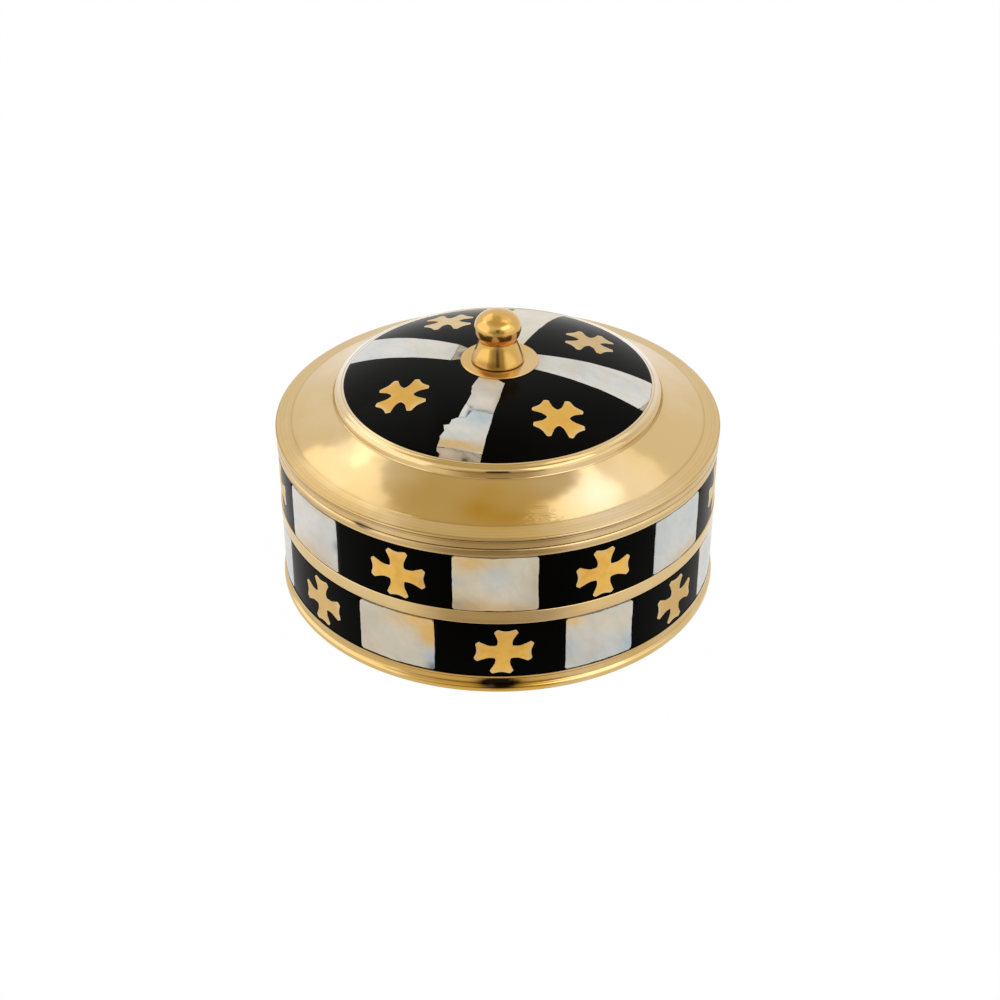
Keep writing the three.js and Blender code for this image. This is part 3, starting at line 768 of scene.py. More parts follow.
# %% Small tools for node nets
def add_node(tree, kind, settings=(), inputs=()):
    """Adds a node, sets its settings, and sets or links each input: a socket is linked, and a value is
    set."""
    made = tree.nodes.new(kind)
    for key, value in dict(settings).items():
        setattr(made, key, value)
    for key, value in dict(inputs).items():
        if isinstance(value, bpy.types.NodeSocket):
            tree.links.new(value, made.inputs[key])
        else:
            made.inputs[key].default_value = value
    return made


def noise(tree, where, scale, detail=2.0, roughness=0.5, dimensions="3D"):
    """Grey noise around 0.5, at the given scale."""
    inputs = {"Vector": where, "Scale": scale, "Detail": detail, "Roughness": roughness}
    return add_node(tree, "ShaderNodeTexNoise", {"noise_dimensions": dimensions}, inputs).outputs["Fac"]


def mapping(tree, where, **changes):
    """Coordinates that are moved, turned or scaled before a pattern reads them."""
    return add_node(tree, "ShaderNodeMapping", (), {"Vector": where, **changes}).outputs[0]


def split(tree, vector):
    """The X, Y and Z of a vector, each as a socket."""
    return add_node(tree, "ShaderNodeSeparateXYZ", (), {"Vector": vector}).outputs


def stretch(tree, value, low, high, to_low=0.0, to_high=1.0):
    """Maps a range of values onto another one, and holds it at the ends."""
    inputs = {"Value": value, "From Min": low, "From Max": high, "To Min": to_low, "To Max": to_high}
    return add_node(tree, "ShaderNodeMapRange", {"clamp": True}, inputs).outputs["Result"]


def product(tree, first, second, plus=None):
    """Multiplies two values, and adds a third one where it is given."""
    how = "MULTIPLY" if plus is None else "MULTIPLY_ADD"
    inputs = {0: first, 1: second} if plus is None else {0: first, 1: second, 2: plus}
    return add_node(tree, "ShaderNodeMath", {"operation": how}, inputs).outputs[0]


# %% [markdown]
# A finish needs a few more tools: mixing two colours, turning a height into relief, reading the colour that
# is painted on a mesh, and starting and linking the shader itself.

# %% Tools for colour, relief and the shader
def blend_colours(tree, share, first, second, how="MIX"):
    """Mixes two colours by a share."""
    made = add_node(tree, "ShaderNodeMix", {"data_type": "RGBA", "blend_type": how})
    for socket, value in ((made.inputs[0], share), (made.inputs[6], first), (made.inputs[7], second)):
        if isinstance(value, bpy.types.NodeSocket):
            tree.links.new(value, socket)
        else:
            socket.default_value = value
    return made.outputs[2]


def bump(tree, height, strength, distance, normal=None):
    """Turns a height into a shading normal."""
    inputs = {"Height": height, "Strength": strength, "Distance": distance}
    if normal is not None:
        inputs["Normal"] = normal
    return add_node(tree, "ShaderNodeBump", (), inputs).outputs["Normal"]


def stain_and_light_colour(tree):
    """The colour that is painted on the corners of a mesh."""
    return add_node(tree, "ShaderNodeAttribute", {"attribute_name": "stain_and_light"}).outputs["Color"]


def connect(tree, shader, colour=None, roughness=None, normal=None):
    """Links what changes over the surface to the shader."""
    for key, socket in (("Base Color", colour), ("Roughness", roughness), ("Normal", normal)):
        if socket is not None:
            tree.links.new(socket, shader.inputs[key])


def start_finish(name, **constants):
    """A new material with its Principled shader's constants set. Returns it with its tree, shader and
    place."""
    material = bpy.data.materials.new(name)
    material.use_nodes = True
    tree = material.node_tree
    shader = tree.nodes["Principled BSDF"]
    for key, value in constants.items():
        shader.inputs[key.replace("_", " ")].default_value = value
    place = tree.nodes.new("ShaderNodeTexCoord").outputs["Object"]
    return material, tree, shader, place


# %% [markdown]
# ### Turned and sawn brass
# Turned brass keeps the marks of the lathe, very fine rings about the axis. They are noise that reads
# only the distance from the axis and the height, so it is the same all the way round. They show on the
# rim and on the rings, which are duller than the shoulder of the lid, because that was buffed. Handling
# has left soft scuffs on the front of the shoulder, and polish has left slow clouds of paler brass. The
# knob wears a thin clear lacquer, so it is less a mirror than the rest. The dark in the grooves is painted
# shade, and some mirrored highlights and darks are painted too, on the mesh below. An image of worn brass
# would show seams and blur close by, while noise stays sharp at every distance.

# %% Brass
LATHE_SHADE = (0.45, 0.33, 0.2, 1)


def turned_brass(name, pale, roughness, metal=1.0, lacquer=0.0):
    """The stain colour of each corner under slow pale clouds. Outside the shoulder there are lathe lines,
    which are noise over (distance from the axis, height), and the brass is rougher there, by 0.13 times
    the share outside. The bumps are the slow clouds, then the scuffs on the front of the shoulder, then
    the lathe lines."""
    material, tree, shader, place = start_finish(
        name, Metallic=metal, Coat_Weight=lacquer, Coat_Roughness=0.08)
    parts = split(tree, place)
    flat = add_node(tree, "ShaderNodeCombineXYZ", (), {"X": parts["X"], "Y": parts["Y"]}).outputs[0]
    radius = add_node(tree, "ShaderNodeVectorMath", {"operation": "LENGTH"}, {0: flat}).outputs["Value"]
    lathe = add_node(tree, "ShaderNodeCombineXYZ", (), {"X": radius, "Y": parts["Z"]}).outputs[0]
    lines = noise(tree, lathe, 1900.0, 3.0, 0.6, "2D")
    clouds = noise(tree, place, 60.0, 3.0, 0.55)
    outside = product(tree, stretch(tree, radius, 42.0 * MM, 43.4 * MM),
                      stretch(tree, parts["Z"], 24 * MM, 32 * MM, 0.3, 1.0))
    shoulder = product(tree, stretch(tree, parts["Y"], -37 * MM, -40 * MM),
                       stretch(tree, radius, 42.0 * MM, 41.2 * MM))
    clouded = blend_colours(tree, stretch(tree, clouds, 0.48, 0.68, 0.0, 0.6), stain_and_light_colour(tree), pale)
    dark_lines = product(tree, outside, stretch(tree, lines, 0.5, 0.72, 0.0, 0.5))
    lined = blend_colours(tree, dark_lines, clouded, LATHE_SHADE, "MULTIPLY")
    rough = product(tree, outside, 0.13, stretch(tree, clouds, 0.35, 0.7, roughness, roughness + 0.06))
    worn = product(tree, shoulder, stretch(tree, noise(tree, place, 90.0, 1.0), 0.42, 0.6))
    sideways = mapping(tree, place, Scale=(0.3, 1.0, 1.0))
    waves = bump(tree, clouds, 0.3, 0.4 * MM)
    scuffs = bump(tree, noise(tree, sideways, 750.0, 3.0, 0.55), worn, 0.13 * MM, waves)
    connect(tree, shader, lined, rough, bump(tree, lines, outside, 0.02 * MM, scuffs))
    return material


def sawn_brass(name, deep, roughness):
    """Sheet brass rubbed down flush: fine scratches in one direction, and some tarnish on the stain
    colour."""
    material, tree, shader, place = start_finish(name, Metallic=1.0)
    one_way = mapping(tree, place, Rotation=(0.4, 0.3, 0.6), Scale=(1.0, 0.08, 1.0))
    scratches = noise(tree, one_way, 2600.0, 3.0, 0.6)
    tarnish = noise(tree, place, 380.0, 3.0, 0.6)
    shade = blend_colours(tree, stretch(tree, tarnish, 0.45, 0.75, 0.0, 0.5), stain_and_light_colour(tree), deep)
    rough = stretch(tree, tarnish, 0.3, 0.7, roughness, roughness + 0.12)
    connect(tree, shader, shade, rough, bump(tree, scratches, 0.2, 0.02 * MM))
    return material


brass = turned_brass("polished brass", (0.74, 0.56, 0.32, 1), 0.08)
knob_brass = turned_brass("knob brass", (0.70, 0.43, 0.13, 1), 0.13, 0.9, 0.5)
cross_brass = sawn_brass("cross brass", (0.70, 0.40, 0.09, 1), 0.5)
print("brasses:", brass.name, "/", knob_brass.name, "/", cross_brass.name)

# %% [markdown]
# ### Black resin
# The resin is a deep black that mirrors very little. A plain gloss black would look grey all over in this
# light, so its mirror level is kept very low. On the dome it was polished more than on the wall, so it
# mirrors a little more there. A thin sheen stands for the fine scratches left by rubbing down.

# %% Resin
def black_resin(name, shine):
    """Deep black with a slightly uneven gloss, and a haze of fine scratches seen at a low angle."""
    material, tree, shader, place = start_finish(
        name, Base_Color=(0.0005, 0.0004, 0.0003, 1), Specular_IOR_Level=shine, Sheen_Weight=0.08,
        Sheen_Roughness=0.3, Sheen_Tint=(1.0, 0.95, 0.88, 1))
    smear = noise(tree, place, 300.0, 3.0, 0.6)
    connect(tree, shader, roughness=stretch(tree, smear, 0.3, 0.7, 0.12, 0.24))
    return material


wall_resin = black_resin("black resin of the wall", 0.015)
dome_resin = black_resin("black resin of the dome", 0.03)
print("resins:", wall_resin.name, "/", dome_resin.name)

# %% [markdown]
# ### Mother-of-pearl and grey shell
# Mother-of-pearl is built of thin layers, so a filed piece shows slow clouds of cool white, blue-grey,
# cream and a little pink, crossed by faint growth lines. The clouds are noise, and each piece also
# carries a few stains of its own in a colour attribute, because on the real box no two tiles are alike.

# %% Pearl and shell
GROWTH_GREY = (0.6, 0.6, 0.6, 1)
ROSY = (1.0, 0.93, 0.84, 1)


def pearl(name, cool, line_strength, line_width, roughness):
    """Slow noise tints the piece's own stain colour in layers, and a wave bent by noise gives growth
    lines."""
    material, tree, shader, place = start_finish(name, Coat_Weight=0.25, Coat_Roughness=0.1, IOR=1.5)
    slow = noise(tree, place, 150.0, 3.0, 0.55)
    other = noise(tree, mapping(tree, place, Location=(3.0, 1.0, 2.0)), 260.0, 3.0, 0.55)
    cooled = blend_colours(tree, stretch(tree, slow, 0.42, 0.66), stain_and_light_colour(tree), cool, "MULTIPLY")
    warmed = blend_colours(tree, stretch(tree, other, 0.46, 0.7), cooled, ROSY, "MULTIPLY")
    growth = add_node(tree, "ShaderNodeTexWave", {"wave_type": "BANDS", "bands_direction": "DIAGONAL"}, {
        "Vector": place, "Scale": 150.0, "Distortion": 12.0, "Detail": 3.0, "Detail Scale": 1.2}).outputs
    lines = stretch(tree, growth["Fac"], 0.0, line_width, line_strength, 0.0)
    lined = blend_colours(tree, lines, warmed, GROWTH_GREY, "MULTIPLY")
    connect(tree, shader, lined, stretch(tree, slow, 0.3, 0.7, roughness, roughness + 0.15))
    return material


mother_of_pearl = pearl("mother of pearl", (0.88, 0.94, 1.0, 1), 0.1, 0.7, 0.3)
grey_shell = pearl("grey shell", (0.82, 0.84, 0.88, 1), 0.7, 0.35, 0.4)

# %% Paint every piece
finish_of_slot = {"brass_polished": brass, "brass_knob": knob_brass, "brass_cross": cross_brass,
                  "black_resin": wall_resin, "mother_of_pearl": mother_of_pearl, "grey_shell": grey_shell}
pieces = [item for item in bpy.data.objects if "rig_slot" in item]
for piece in pieces:
    finish = dome_resin if piece.name.startswith("poured_lid") else finish_of_slot[piece["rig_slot"]]
    piece.data.materials.clear()
    piece.data.materials.append(finish)
print(len(pieces), "pieces have their finish")

# %% [markdown]
# The stains, and the painted shade, highlights and reflections, are soft round patches, each with a place
# on its piece, a size, a colour and a strength. A patch fades as exp(-d^2), where d is the distance from
# its middle in patch sizes, so patches run into each other. A place is given in the plan that suits the
# piece: across and up a tile, along and across a strip, at a radius and a height on a profile, or at an
# angle and a height round the lid.

# %% Colours of the stains and of the painted light and shade
COOL_WHITE = (0.62, 0.61, 0.585)
WARM_WHITE = (0.64, 0.58, 0.46)
SOFT_GREY = (0.555, 0.565, 0.55)
CREAM = (0.70, 0.54, 0.32)
AMBER = (0.76, 0.45, 0.11)
BLUE_GREY = (0.38, 0.47, 0.56)
SLATE = (0.10, 0.15, 0.21)
PINK_GREY = (0.54, 0.50, 0.46)
BEIGE = (0.58, 0.40, 0.19)
GREY_BROWN = (0.40, 0.33, 0.24)
BRASS = (0.69, 0.49, 0.22)
# Painted highlight: paler brass where a lamp is mirrored, on the right of the shoulder and of the collar.
HIGHLIGHT_BRASS = (0.80, 0.66, 0.50)
WARM_BRASS = (0.66, 0.41, 0.10)
# Painted shade: deeper, darker brass on the fronts of the shoulder, bead and foot, in the knob's crease and
# on the collar under the knob.
DEEP_SHADE_BRASS = (0.60, 0.34, 0.05)
KNOB_BRASS = (0.65, 0.375, 0.075)
KNOB_SHADE = (0.36, 0.18, 0.03)
# Painted reflection: the red-brown band where the ball mirrors the dark resin under it.
KNOB_RED_REFLECTION = (0.72, 0.20, 0.02)
# Painted shade on the brass: grooves and edges, the ring fronts that mirror the dim floor, and trimmed lamp
# reflections.
SHADED_BRASS = (0.40, 0.26, 0.10)
CROSS_GOLD = (0.86, 0.53, 0.12)
CROSS_PALE = (0.76, 0.62, 0.40)
BACK_GLARE = (0.93, 0.88, 0.81)
# Real grime on a few spots of the top ring and the shell. Also painted shade in grooves, at the knob's lip
# and in a nick at the seam, and a painted reflection of the camera down the knob's skirt.
GRIME_AND_SHADE = (0.07, 0.04, 0.02)
# Painted reflection: the dark spot where the foot mirrors the camera.
DARK_REFLECTION = (0.012, 0.006, 0.003)

# %% Plans and stains
# The colour painted on the corners holds real stains, and also painted shade, highlights and reflections.
def stain_and_light(name, base, *layers):
    """Colours a piece's corners with a base and then, for each layer of a plan and its patches, with
    every patch (x, y, width, height, colour, strength) in that plan. The share of a patch is strength
    times exp(-d^2), and at most 1: so a strength over 1 gives a patch a plain middle and a firmer
    edge."""
    mesh = bpy.data.objects[name].data
    points = points_of(mesh)
    colour = np.tile(np.array(base), (len(points), 1))
    for plan, patches in layers:
        across, up = plan(points)
        for x, y, width, height, tone, strength in patches:
            share = strength * np.exp(-((across - x) / width) ** 2 - ((up - y) / height) ** 2)
            share = np.minimum(1, share)[:, None]
            colour = colour * (1 - share) + np.array(tone) * share
    attribute = mesh.attributes.new("stain_and_light", "FLOAT_COLOR", "POINT")
    with_alpha = np.column_stack([colour, np.ones(len(colour))])
    attribute.data.foreach_set("color", with_alpha.astype(np.float32).ravel())


def wall_plan(node):
    """Across and up from the middle of a tile, each from -1 to 1 at its edges."""
    turn, half_width, middle, half_height = seat_of(node)

    def plan(points):
        angle = short_turn(np.arctan2(points[:, 0], -points[:, 1]) - turn)
        return angle * band_radius / half_width, (points[:, 2] - middle) / half_height

    return plan


def strip_plan(degrees):
    """Along and across a strip's ray, in millimetres."""
    angle = math.radians(degrees)

    def plan(points):
        along = points[:, 0] * math.sin(angle) - points[:, 1] * math.cos(angle)
        return along, points[:, 0] * math.cos(angle) + points[:, 1] * math.sin(angle)

    return plan


def profile_plan(points):
    """Distance from the axis and height, in millimetres."""
    return np.hypot(points[:, 0], points[:, 1]), points[:, 2]


def around_plan(points):
    """Angle from the front towards +X in degrees, and height in millimetres."""
    return np.degrees(np.arctan2(points[:, 0], -points[:, 1])), points[:, 2]


# %% [markdown]
# The tiles that face the camera each have stains of their own, amber, cream and blue-grey, mostly at
# their edges and corners. The tiles at the sides and the back aren't seen in the photograph, so they
# share two quiet sets of stains.

# %% Stain the tiles
tile_stains = {
    "upper_tile_1": (WARM_WHITE, [
        (-0.5, 0.85, 0.6, 0.36, AMBER, 0.95), (-0.8, -0.1, 0.5, 1.0, CREAM, 0.6),
        (-0.7, -0.95, 0.6, 0.35, BEIGE, 1.2), (0.4, -1, 1.0, 0.3, BEIGE, 0.9),
        (-0.95, 0.1, 0.25, 0.35, BLUE_GREY, 0.4), (0.05, 0.2, 0.5, 0.6, SOFT_GREY, 0.8),
        (1.0, 0, 0.25, 1.3, GREY_BROWN, 0.5), (-0.95, -0.95, 0.3, 0.3, GREY_BROWN, 0.8)]),
    "lower_tile_1": (SOFT_GREY, [
        (0.2, 0.6, 1.2, 0.6, WARM_WHITE, 0.9), (-0.85, 1, 0.45, 0.3, AMBER, 0.7),
        (-1, -0.2, 0.35, 0.6, BLUE_GREY, 0.6), (1.0, -0.7, 0.4, 0.4, BLUE_GREY, 1.1)]),
    "lower_tile_7": (WARM_WHITE, [
        (0.5, 0.95, 0.5, 0.35, AMBER, 0.95), (0.98, 0.45, 0.35, 0.5, AMBER, 1.6),
        (0.0, 0.8, 0.5, 0.4, CREAM, 0.5), (1, -0.55, 0.3, 0.4, BLUE_GREY, 0.9),
        (0.95, -1, 0.15, 0.25, SLATE, 1), (-1, -0.1, 0.5, 1.2, GREY_BROWN, 0.35),
        (-0.1, -0.2, 0.6, 0.6, PINK_GREY, 0.4)]),
    "upper_tile_7": (COOL_WHITE, [
        (0.2, -0.5, 0.6, 0.6, PINK_GREY, 0.9), (1, 0.0, 0.15, 0.3, SLATE, 0.6),
        (0.0, -0.95, 0.9, 0.35, BEIGE, 0.7), (0.3, 1.0, 0.7, 0.15, BEIGE, 0.5)]),
    "upper_tile_2": (SOFT_GREY, [
        (0.6, 0.6, 0.6, 0.6, BLUE_GREY, 0.3), (0.4, -0.95, 0.8, 0.3, BEIGE, 0.6)]),
}
spare_stains = [
    (COOL_WHITE, [
        (-0.6, 0.5, 0.7, 0.7, PINK_GREY, 0.5), (0.8, -0.6, 0.5, 0.6, BLUE_GREY, 0.4)]),
    (WARM_WHITE, [
        (0.7, 0.7, 0.6, 0.6, CREAM, 0.6), (-0.7, -0.4, 0.6, 0.8, BLUE_GREY, 0.3)]),
]
for band in ("upper", "lower"):
    for index in range(1, TILES + 1):
        base, patches = tile_stains.get(f"{band}_tile_{index}", spare_stains[index % 2])
        stain_and_light(f"laid_{band}_tile_{index}", base, (wall_plan(f"{band}_pearl_tile_{index}"), patches))
print(len(tile_stains), "tiles have stains of their own")

# %% [markdown]
# The stains of the lid's shell follow its scraps: slate along the joints of the front strip, a beige line
# across it, grey-brown shell at its end, and a little grime by the bead and the knob.

# %% Stain the lid's shell
lid_shell_names = ("laid_front", "laid_right", "laid_back", "laid_left")
stain_and_light("laid_front_inner", PINK_GREY, (strip_plan(FRONT), [
    (8, 1, 1.2, 3, BEIGE, 0.6), (9.5, 1.5, 1.5, 1.5, WARM_WHITE, 0.6),
    (15.3, 1.0, 1.8, 2.5, COOL_WHITE, 0.8), (18.1, 1.9, 0.35, 2.2, SLATE, 0.7),
    (17.6, -0.9, 0.45, 0.5, SLATE, 0.8), (14, 3.7, 3, 0.5, GREY_BROWN, 0.6)]))
stain_and_light("laid_front_chip", COOL_WHITE, (strip_plan(FRONT), [
    (19.3, -0.8, 1.4, 0.45, SLATE, 1.1), (20.7, -1.8, 0.25, 2, BLUE_GREY, 0.9)]))
stain_and_light("laid_front_middle", SOFT_GREY, (strip_plan(FRONT), [
    (18.5, 1.5, 0.4, 3, SLATE, 0.35), (20.0, 2.2, 1.5, 3, BLUE_GREY, 0.8),
    (23.3, -0.5, 1.4, 4, COOL_WHITE, 0.7), (27.55, 0, 1.1, 9, BEIGE, 1.4),
    (26.6, 3.4, 1, 2, PINK_GREY, 0.6)]))
stain_and_light("laid_front_end", GREY_BROWN, (strip_plan(FRONT), [
    (29.6, -2.5, 0.7, 1.6, PINK_GREY, 0.5), (30.7, 1.5, 0.5, 0.7, GRIME_AND_SHADE, 1.3),
    (30.3, -4.1, 0.5, 0.5, GRIME_AND_SHADE, 1)]))
stain_and_light("laid_right_strip", COOL_WHITE, (strip_plan(RIGHT), [
    (7, 0, 2.5, 5, PINK_GREY, 0.9), (15, 1, 4, 4, SOFT_GREY, 0.9), (28, 2, 3, 3, SOFT_GREY, 0.8)]))
stain_and_light("laid_right_sliver", GREY_BROWN)
stain_and_light("laid_back_strip", WARM_WHITE, (strip_plan(BACK), [
    (20, 0, 8, 6, COOL_WHITE, 0.5)]))
stain_and_light("laid_left_strip", COOL_WHITE, (strip_plan(LEFT), [
    (28, 0, 3, 6, BLUE_GREY, 0.3)]))
stain_and_light("laid_left_inner", GREY_BROWN, (strip_plan(LEFT), [
    (8.7, -1.2, 1, 1.3, WARM_WHITE, 0.5), (7.5, 0.7, 0.7, 1.1, GRIME_AND_SHADE, 1)]))
print("shell of the lid stained:", [item.name for item in pieces if item.name.startswith(lid_shell_names)])

# %% [markdown]
# Painted shade darkens the brass in the groove under the rim bead, at the foot of the shoulder, along
# the edges of the rings and round the knob's neck. The fronts of the shoulder and of the rings are painted
# darker and deeper in colour, a painted reflection of the dim gap between the lights and of the dim floor
# in front, and the right of the shoulder is painted paler, a painted highlight. The dark spot on the foot
# and the pale glare at the back of the bead are mirrored light. Lamps alone can't place them so exactly,
# so a part of each is painted.

# %% Stain the turned brass
red_reflection_height = 55.0
# On the lid, the deeper and warmer patches on the front of the shoulder are a painted reflection of the dim
# gap between the lights, and the pale ones on its right are a painted highlight. The darker patches on its
# left, on the land and on the bead's right are painted shade that trims the lamps' reflections. The dark in
# the grooves, on the skirt, under the rim bead and in the nick at -34.5 degrees is painted shade. The dark
# on the front of the bead is a painted reflection of the camera, and the pale patch at the back of the bead
# is painted glare.
stain_and_light("turned_lid", BRASS, (around_plan, [
    (-5, 38.4, 6, 1.4, DEEP_SHADE_BRASS, 0.9), (3, 37.6, 7, 1.0, DEEP_SHADE_BRASS, 0.8),
    (-2, 40.3, 5, 1.0, WARM_BRASS, 0.7), (8, 39.4, 6, 1.2, WARM_BRASS, 0.5),
    (-22, 39.3, 11, 2.2, WARM_BRASS, 0.3), (29, 38.4, 10, 3.0, HIGHLIGHT_BRASS, 0.9),
    (17, 40.9, 9, 1.1, HIGHLIGHT_BRASS, 0.4), (-41, 41.1, 8, 0.9, SHADED_BRASS, 0.45),
    (-56, 40.9, 8, 1.0, SHADED_BRASS, 0.35), (-44, 36.3, 30, 0.5, SHADED_BRASS, 0.6),
    (-3, 42.4, 13, 0.5, DEEP_SHADE_BRASS, 0.6), (0, 42.4, 9, 0.5, SHADED_BRASS, 0.4),
    (30, 43.2, 28, 0.3, SHADED_BRASS, 0.6), (22, 35.55, 17, 0.16, GRIME_AND_SHADE, 0.7),
    (-34.5, 33.85, 2.0, 0.35, GRIME_AND_SHADE, 2.5), (180, 43.62, 75, 0.35, BACK_GLARE, 3),
    (-180, 43.62, 75, 0.35, BACK_GLARE, 3)]), (profile_plan, [
    (44.67, 35.55, 0.3, 0.1, GRIME_AND_SHADE, 0.45), (44.9, 34.7, 0.5, 0.9, SHADED_BRASS, 0.25),
    (41.75, 36.85, 0.25, 0.12, SHADED_BRASS, 0.5), (33.05, 41.5, 0.25, 0.2, SHADED_BRASS, 0.6),
    (31.45, 43.64, 0.1, 0.06, SHADED_BRASS, 0.8)]))
# On the top ring, the darker front is a painted reflection of the dim floor in front. The dark lines along
# its edges and the nick at -34.5 degrees are painted shade, and the few dark spots on its left are grime.
stain_and_light("turned_top_ring", BRASS, (around_plan, [
    (0, 33.1, 26, 0.5, SHADED_BRASS, 0.9), (-34.5, 33.6, 2.0, 0.3, GRIME_AND_SHADE, 2.5),
    (-63, 32.1, 3, 0.3, GRIME_AND_SHADE, 0.7), (-55, 32.2, 2.5, 0.25, GRIME_AND_SHADE, 0.6), (-49, 32.1, 3, 0.3, GRIME_AND_SHADE, 0.7)]),
      (profile_plan, [
    (44.8, 33.65, 0.5, 0.25, GRIME_AND_SHADE, 0.2), (44.8, 31.9, 0.3, 0.05, GRIME_AND_SHADE, 0.6)]))
# On the middle ring, the darker front is a painted reflection of the dim floor. The dark line under its
# lower edge and the darker upper edge are painted shade.
stain_and_light("turned_middle_ring", BRASS, (around_plan, [
    (0, 16.7, 30, 0.4, SHADED_BRASS, 0.4)]), (profile_plan, [
    (44.7, 16.3, 0.3, 0.1, GRIME_AND_SHADE, 0.6), (44.9, 19.35, 0.3, 0.08, SHADED_BRASS, 0.5)]))
# On the foot, the deeper front is a painted reflection of the dim floor. The hollow and the lines above the
# bead and under the ledge are painted shade, and the dark spot in front is a painted reflection of the
# camera.
stain_and_light("turned_foot_ring", BRASS, (around_plan, [
    (0, 2.2, 30, 2.6, DEEP_SHADE_BRASS, 1.1)]), (profile_plan, [
    (44.5, 2.6, 0.3, 0.8, SHADED_BRASS, 0.35), (44.95, 3.9, 0.3, 0.08, GRIME_AND_SHADE, 0.6),
    (44.6, 1.85, 0.2, 0.12, SHADED_BRASS, 0.6)]), (around_plan, [
    (0.3, 2.2, 4.3, 0.8, DARK_REFLECTION, 3)]))
for name in ("turned_wall", "turned_floor", "turned_washer", "slotted_screw"):
    stain_and_light(name, BRASS)
# On the knob, the crease under the ball and the lip are painted shade. The red band on the ball is a
# painted reflection of the dark resin under it, and the dark line down the front of the skirt is a painted
# reflection of the camera. The lower skirt on the left is painted shade.
stain_and_light("turned_knob", KNOB_BRASS, (profile_plan, [
    (3.9, skirt_top, 0.6, 0.4, DEEP_SHADE_BRASS, 0.6), (5.3, knob_low, 0.5, 0.2, GRIME_AND_SHADE, 0.5),
    (3.8, red_reflection_height, 3, 0.75, KNOB_RED_REFLECTION, 0.9)]), (around_plan, [
    (-0.6, knob_low + 3.3, 4, 1.3, GRIME_AND_SHADE, 1.3), (-30, knob_low + 0.9, 34, 0.7, KNOB_SHADE, 1.2)]))
# On the collar, the dark ring under the knob is painted shade, and its paler right is a painted highlight.
stain_and_light("turned_collar", WARM_BRASS, (profile_plan, [
    (5.4, collar_high, 0.6, 0.5, DEEP_SHADE_BRASS, 0.8)]), (around_plan, [
    (70, collar_high, 45, 1, HIGHLIGHT_BRASS, 0.3)]))
stained = [item.name for item in pieces if "stain_and_light" in item.data.attributes]
print("stained so far:", len(stained), "of", len(pieces), "pieces")

# %% [markdown]
# The crosses are of one gold, but some are paler or duller than others. On the two crosses at the back of
# the lid the paleness is a painted reflection of the pale room, seen at a low angle. The outer ring of each
# face is painted paler too, a painted highlight where a rubbed edge would catch the light.

# %% Stain the crosses
# The paleness of the two crosses at the back of the lid is a painted reflection; the other tones differ
# from cross to cross.
cross_tones = {"lower_cross_1": (0.0, 1.08), "lower_cross_2": (0.4, 0.78), "lower_cross_7": (0.45, 0.86),
               "upper_cross_2": (0.9, 1.0), "upper_cross_6": (0.9, 1.0), "lid_cross_back_left": (0.9, 0.95),
               "lid_cross_back_right": (0.7, 0.82), "lid_cross_front_right": (0.0, 0.86),
               "lid_cross_front_left": (0.0, 0.76)}
CROSS_RINGS = 8


def rings_plan(points):
    """How many rings out from the middle of a cross each corner lies."""
    columns = (len(points) - 2) // (CROSS_RINGS + 2)
    ring = (np.arange(len(points)) - 1) // columns + 1
    return ring, 0 * ring


# The paler outer ring of each face is a painted highlight.
for piece in [item for item in pieces if item.name.startswith("sawn_")]:
    pale, bright = cross_tones.get(piece.name.removeprefix("sawn_"), (0.0, 1.0))
    gold = (np.array(CROSS_GOLD) * (1 - pale) + np.array(CROSS_PALE) * pale) * bright
    stain_and_light(piece.name, tuple(gold), (rings_plan, [(CROSS_RINGS - 1, 0, 0.8, 1, CROSS_PALE, 0.6)]))
print("crosses with their own tone:", sorted(cross_tones))

# %% [markdown]
# ## The studio
# Polished metal shows the room more than itself. The real box stood on a white sweep, with a soft box on
# its left and another one over its right, and the side of the camera was dim. So the shoulder mirrors a
# gap between two lights in its middle, and the rings turn dark towards the front. The lights are placed
# for what the brass mirrors, and the world around them gives the plain, even light by which pearl and
# resin are seen.
#
# A plain white floor would turn grey round the box, and in the photograph it is plain white. So the floor
# glows for the camera and for the brass, and only scattered light treats it as paper.

# %% Floor
FLOOR_SIDE = 3.0
PLAIN_WHITE = (1, 1, 1, 1)
# Painted shadow on the floor in front of the box, seen only in the brass.
FLOOR_SHADOW = (0.46, 0.40, 0.32, 1)


def add_sheet(name, corners, material):
    """One flat face with four corners."""
    mesh = bpy.data.meshes.new(name)
    mesh.from_pydata(corners, [], [(0, 1, 2, 3)])
    mesh.materials.append(material)
    sheet = bpy.data.objects.new(name, mesh)
    bpy.context.scene.collection.objects.link(sheet)
    return sheet


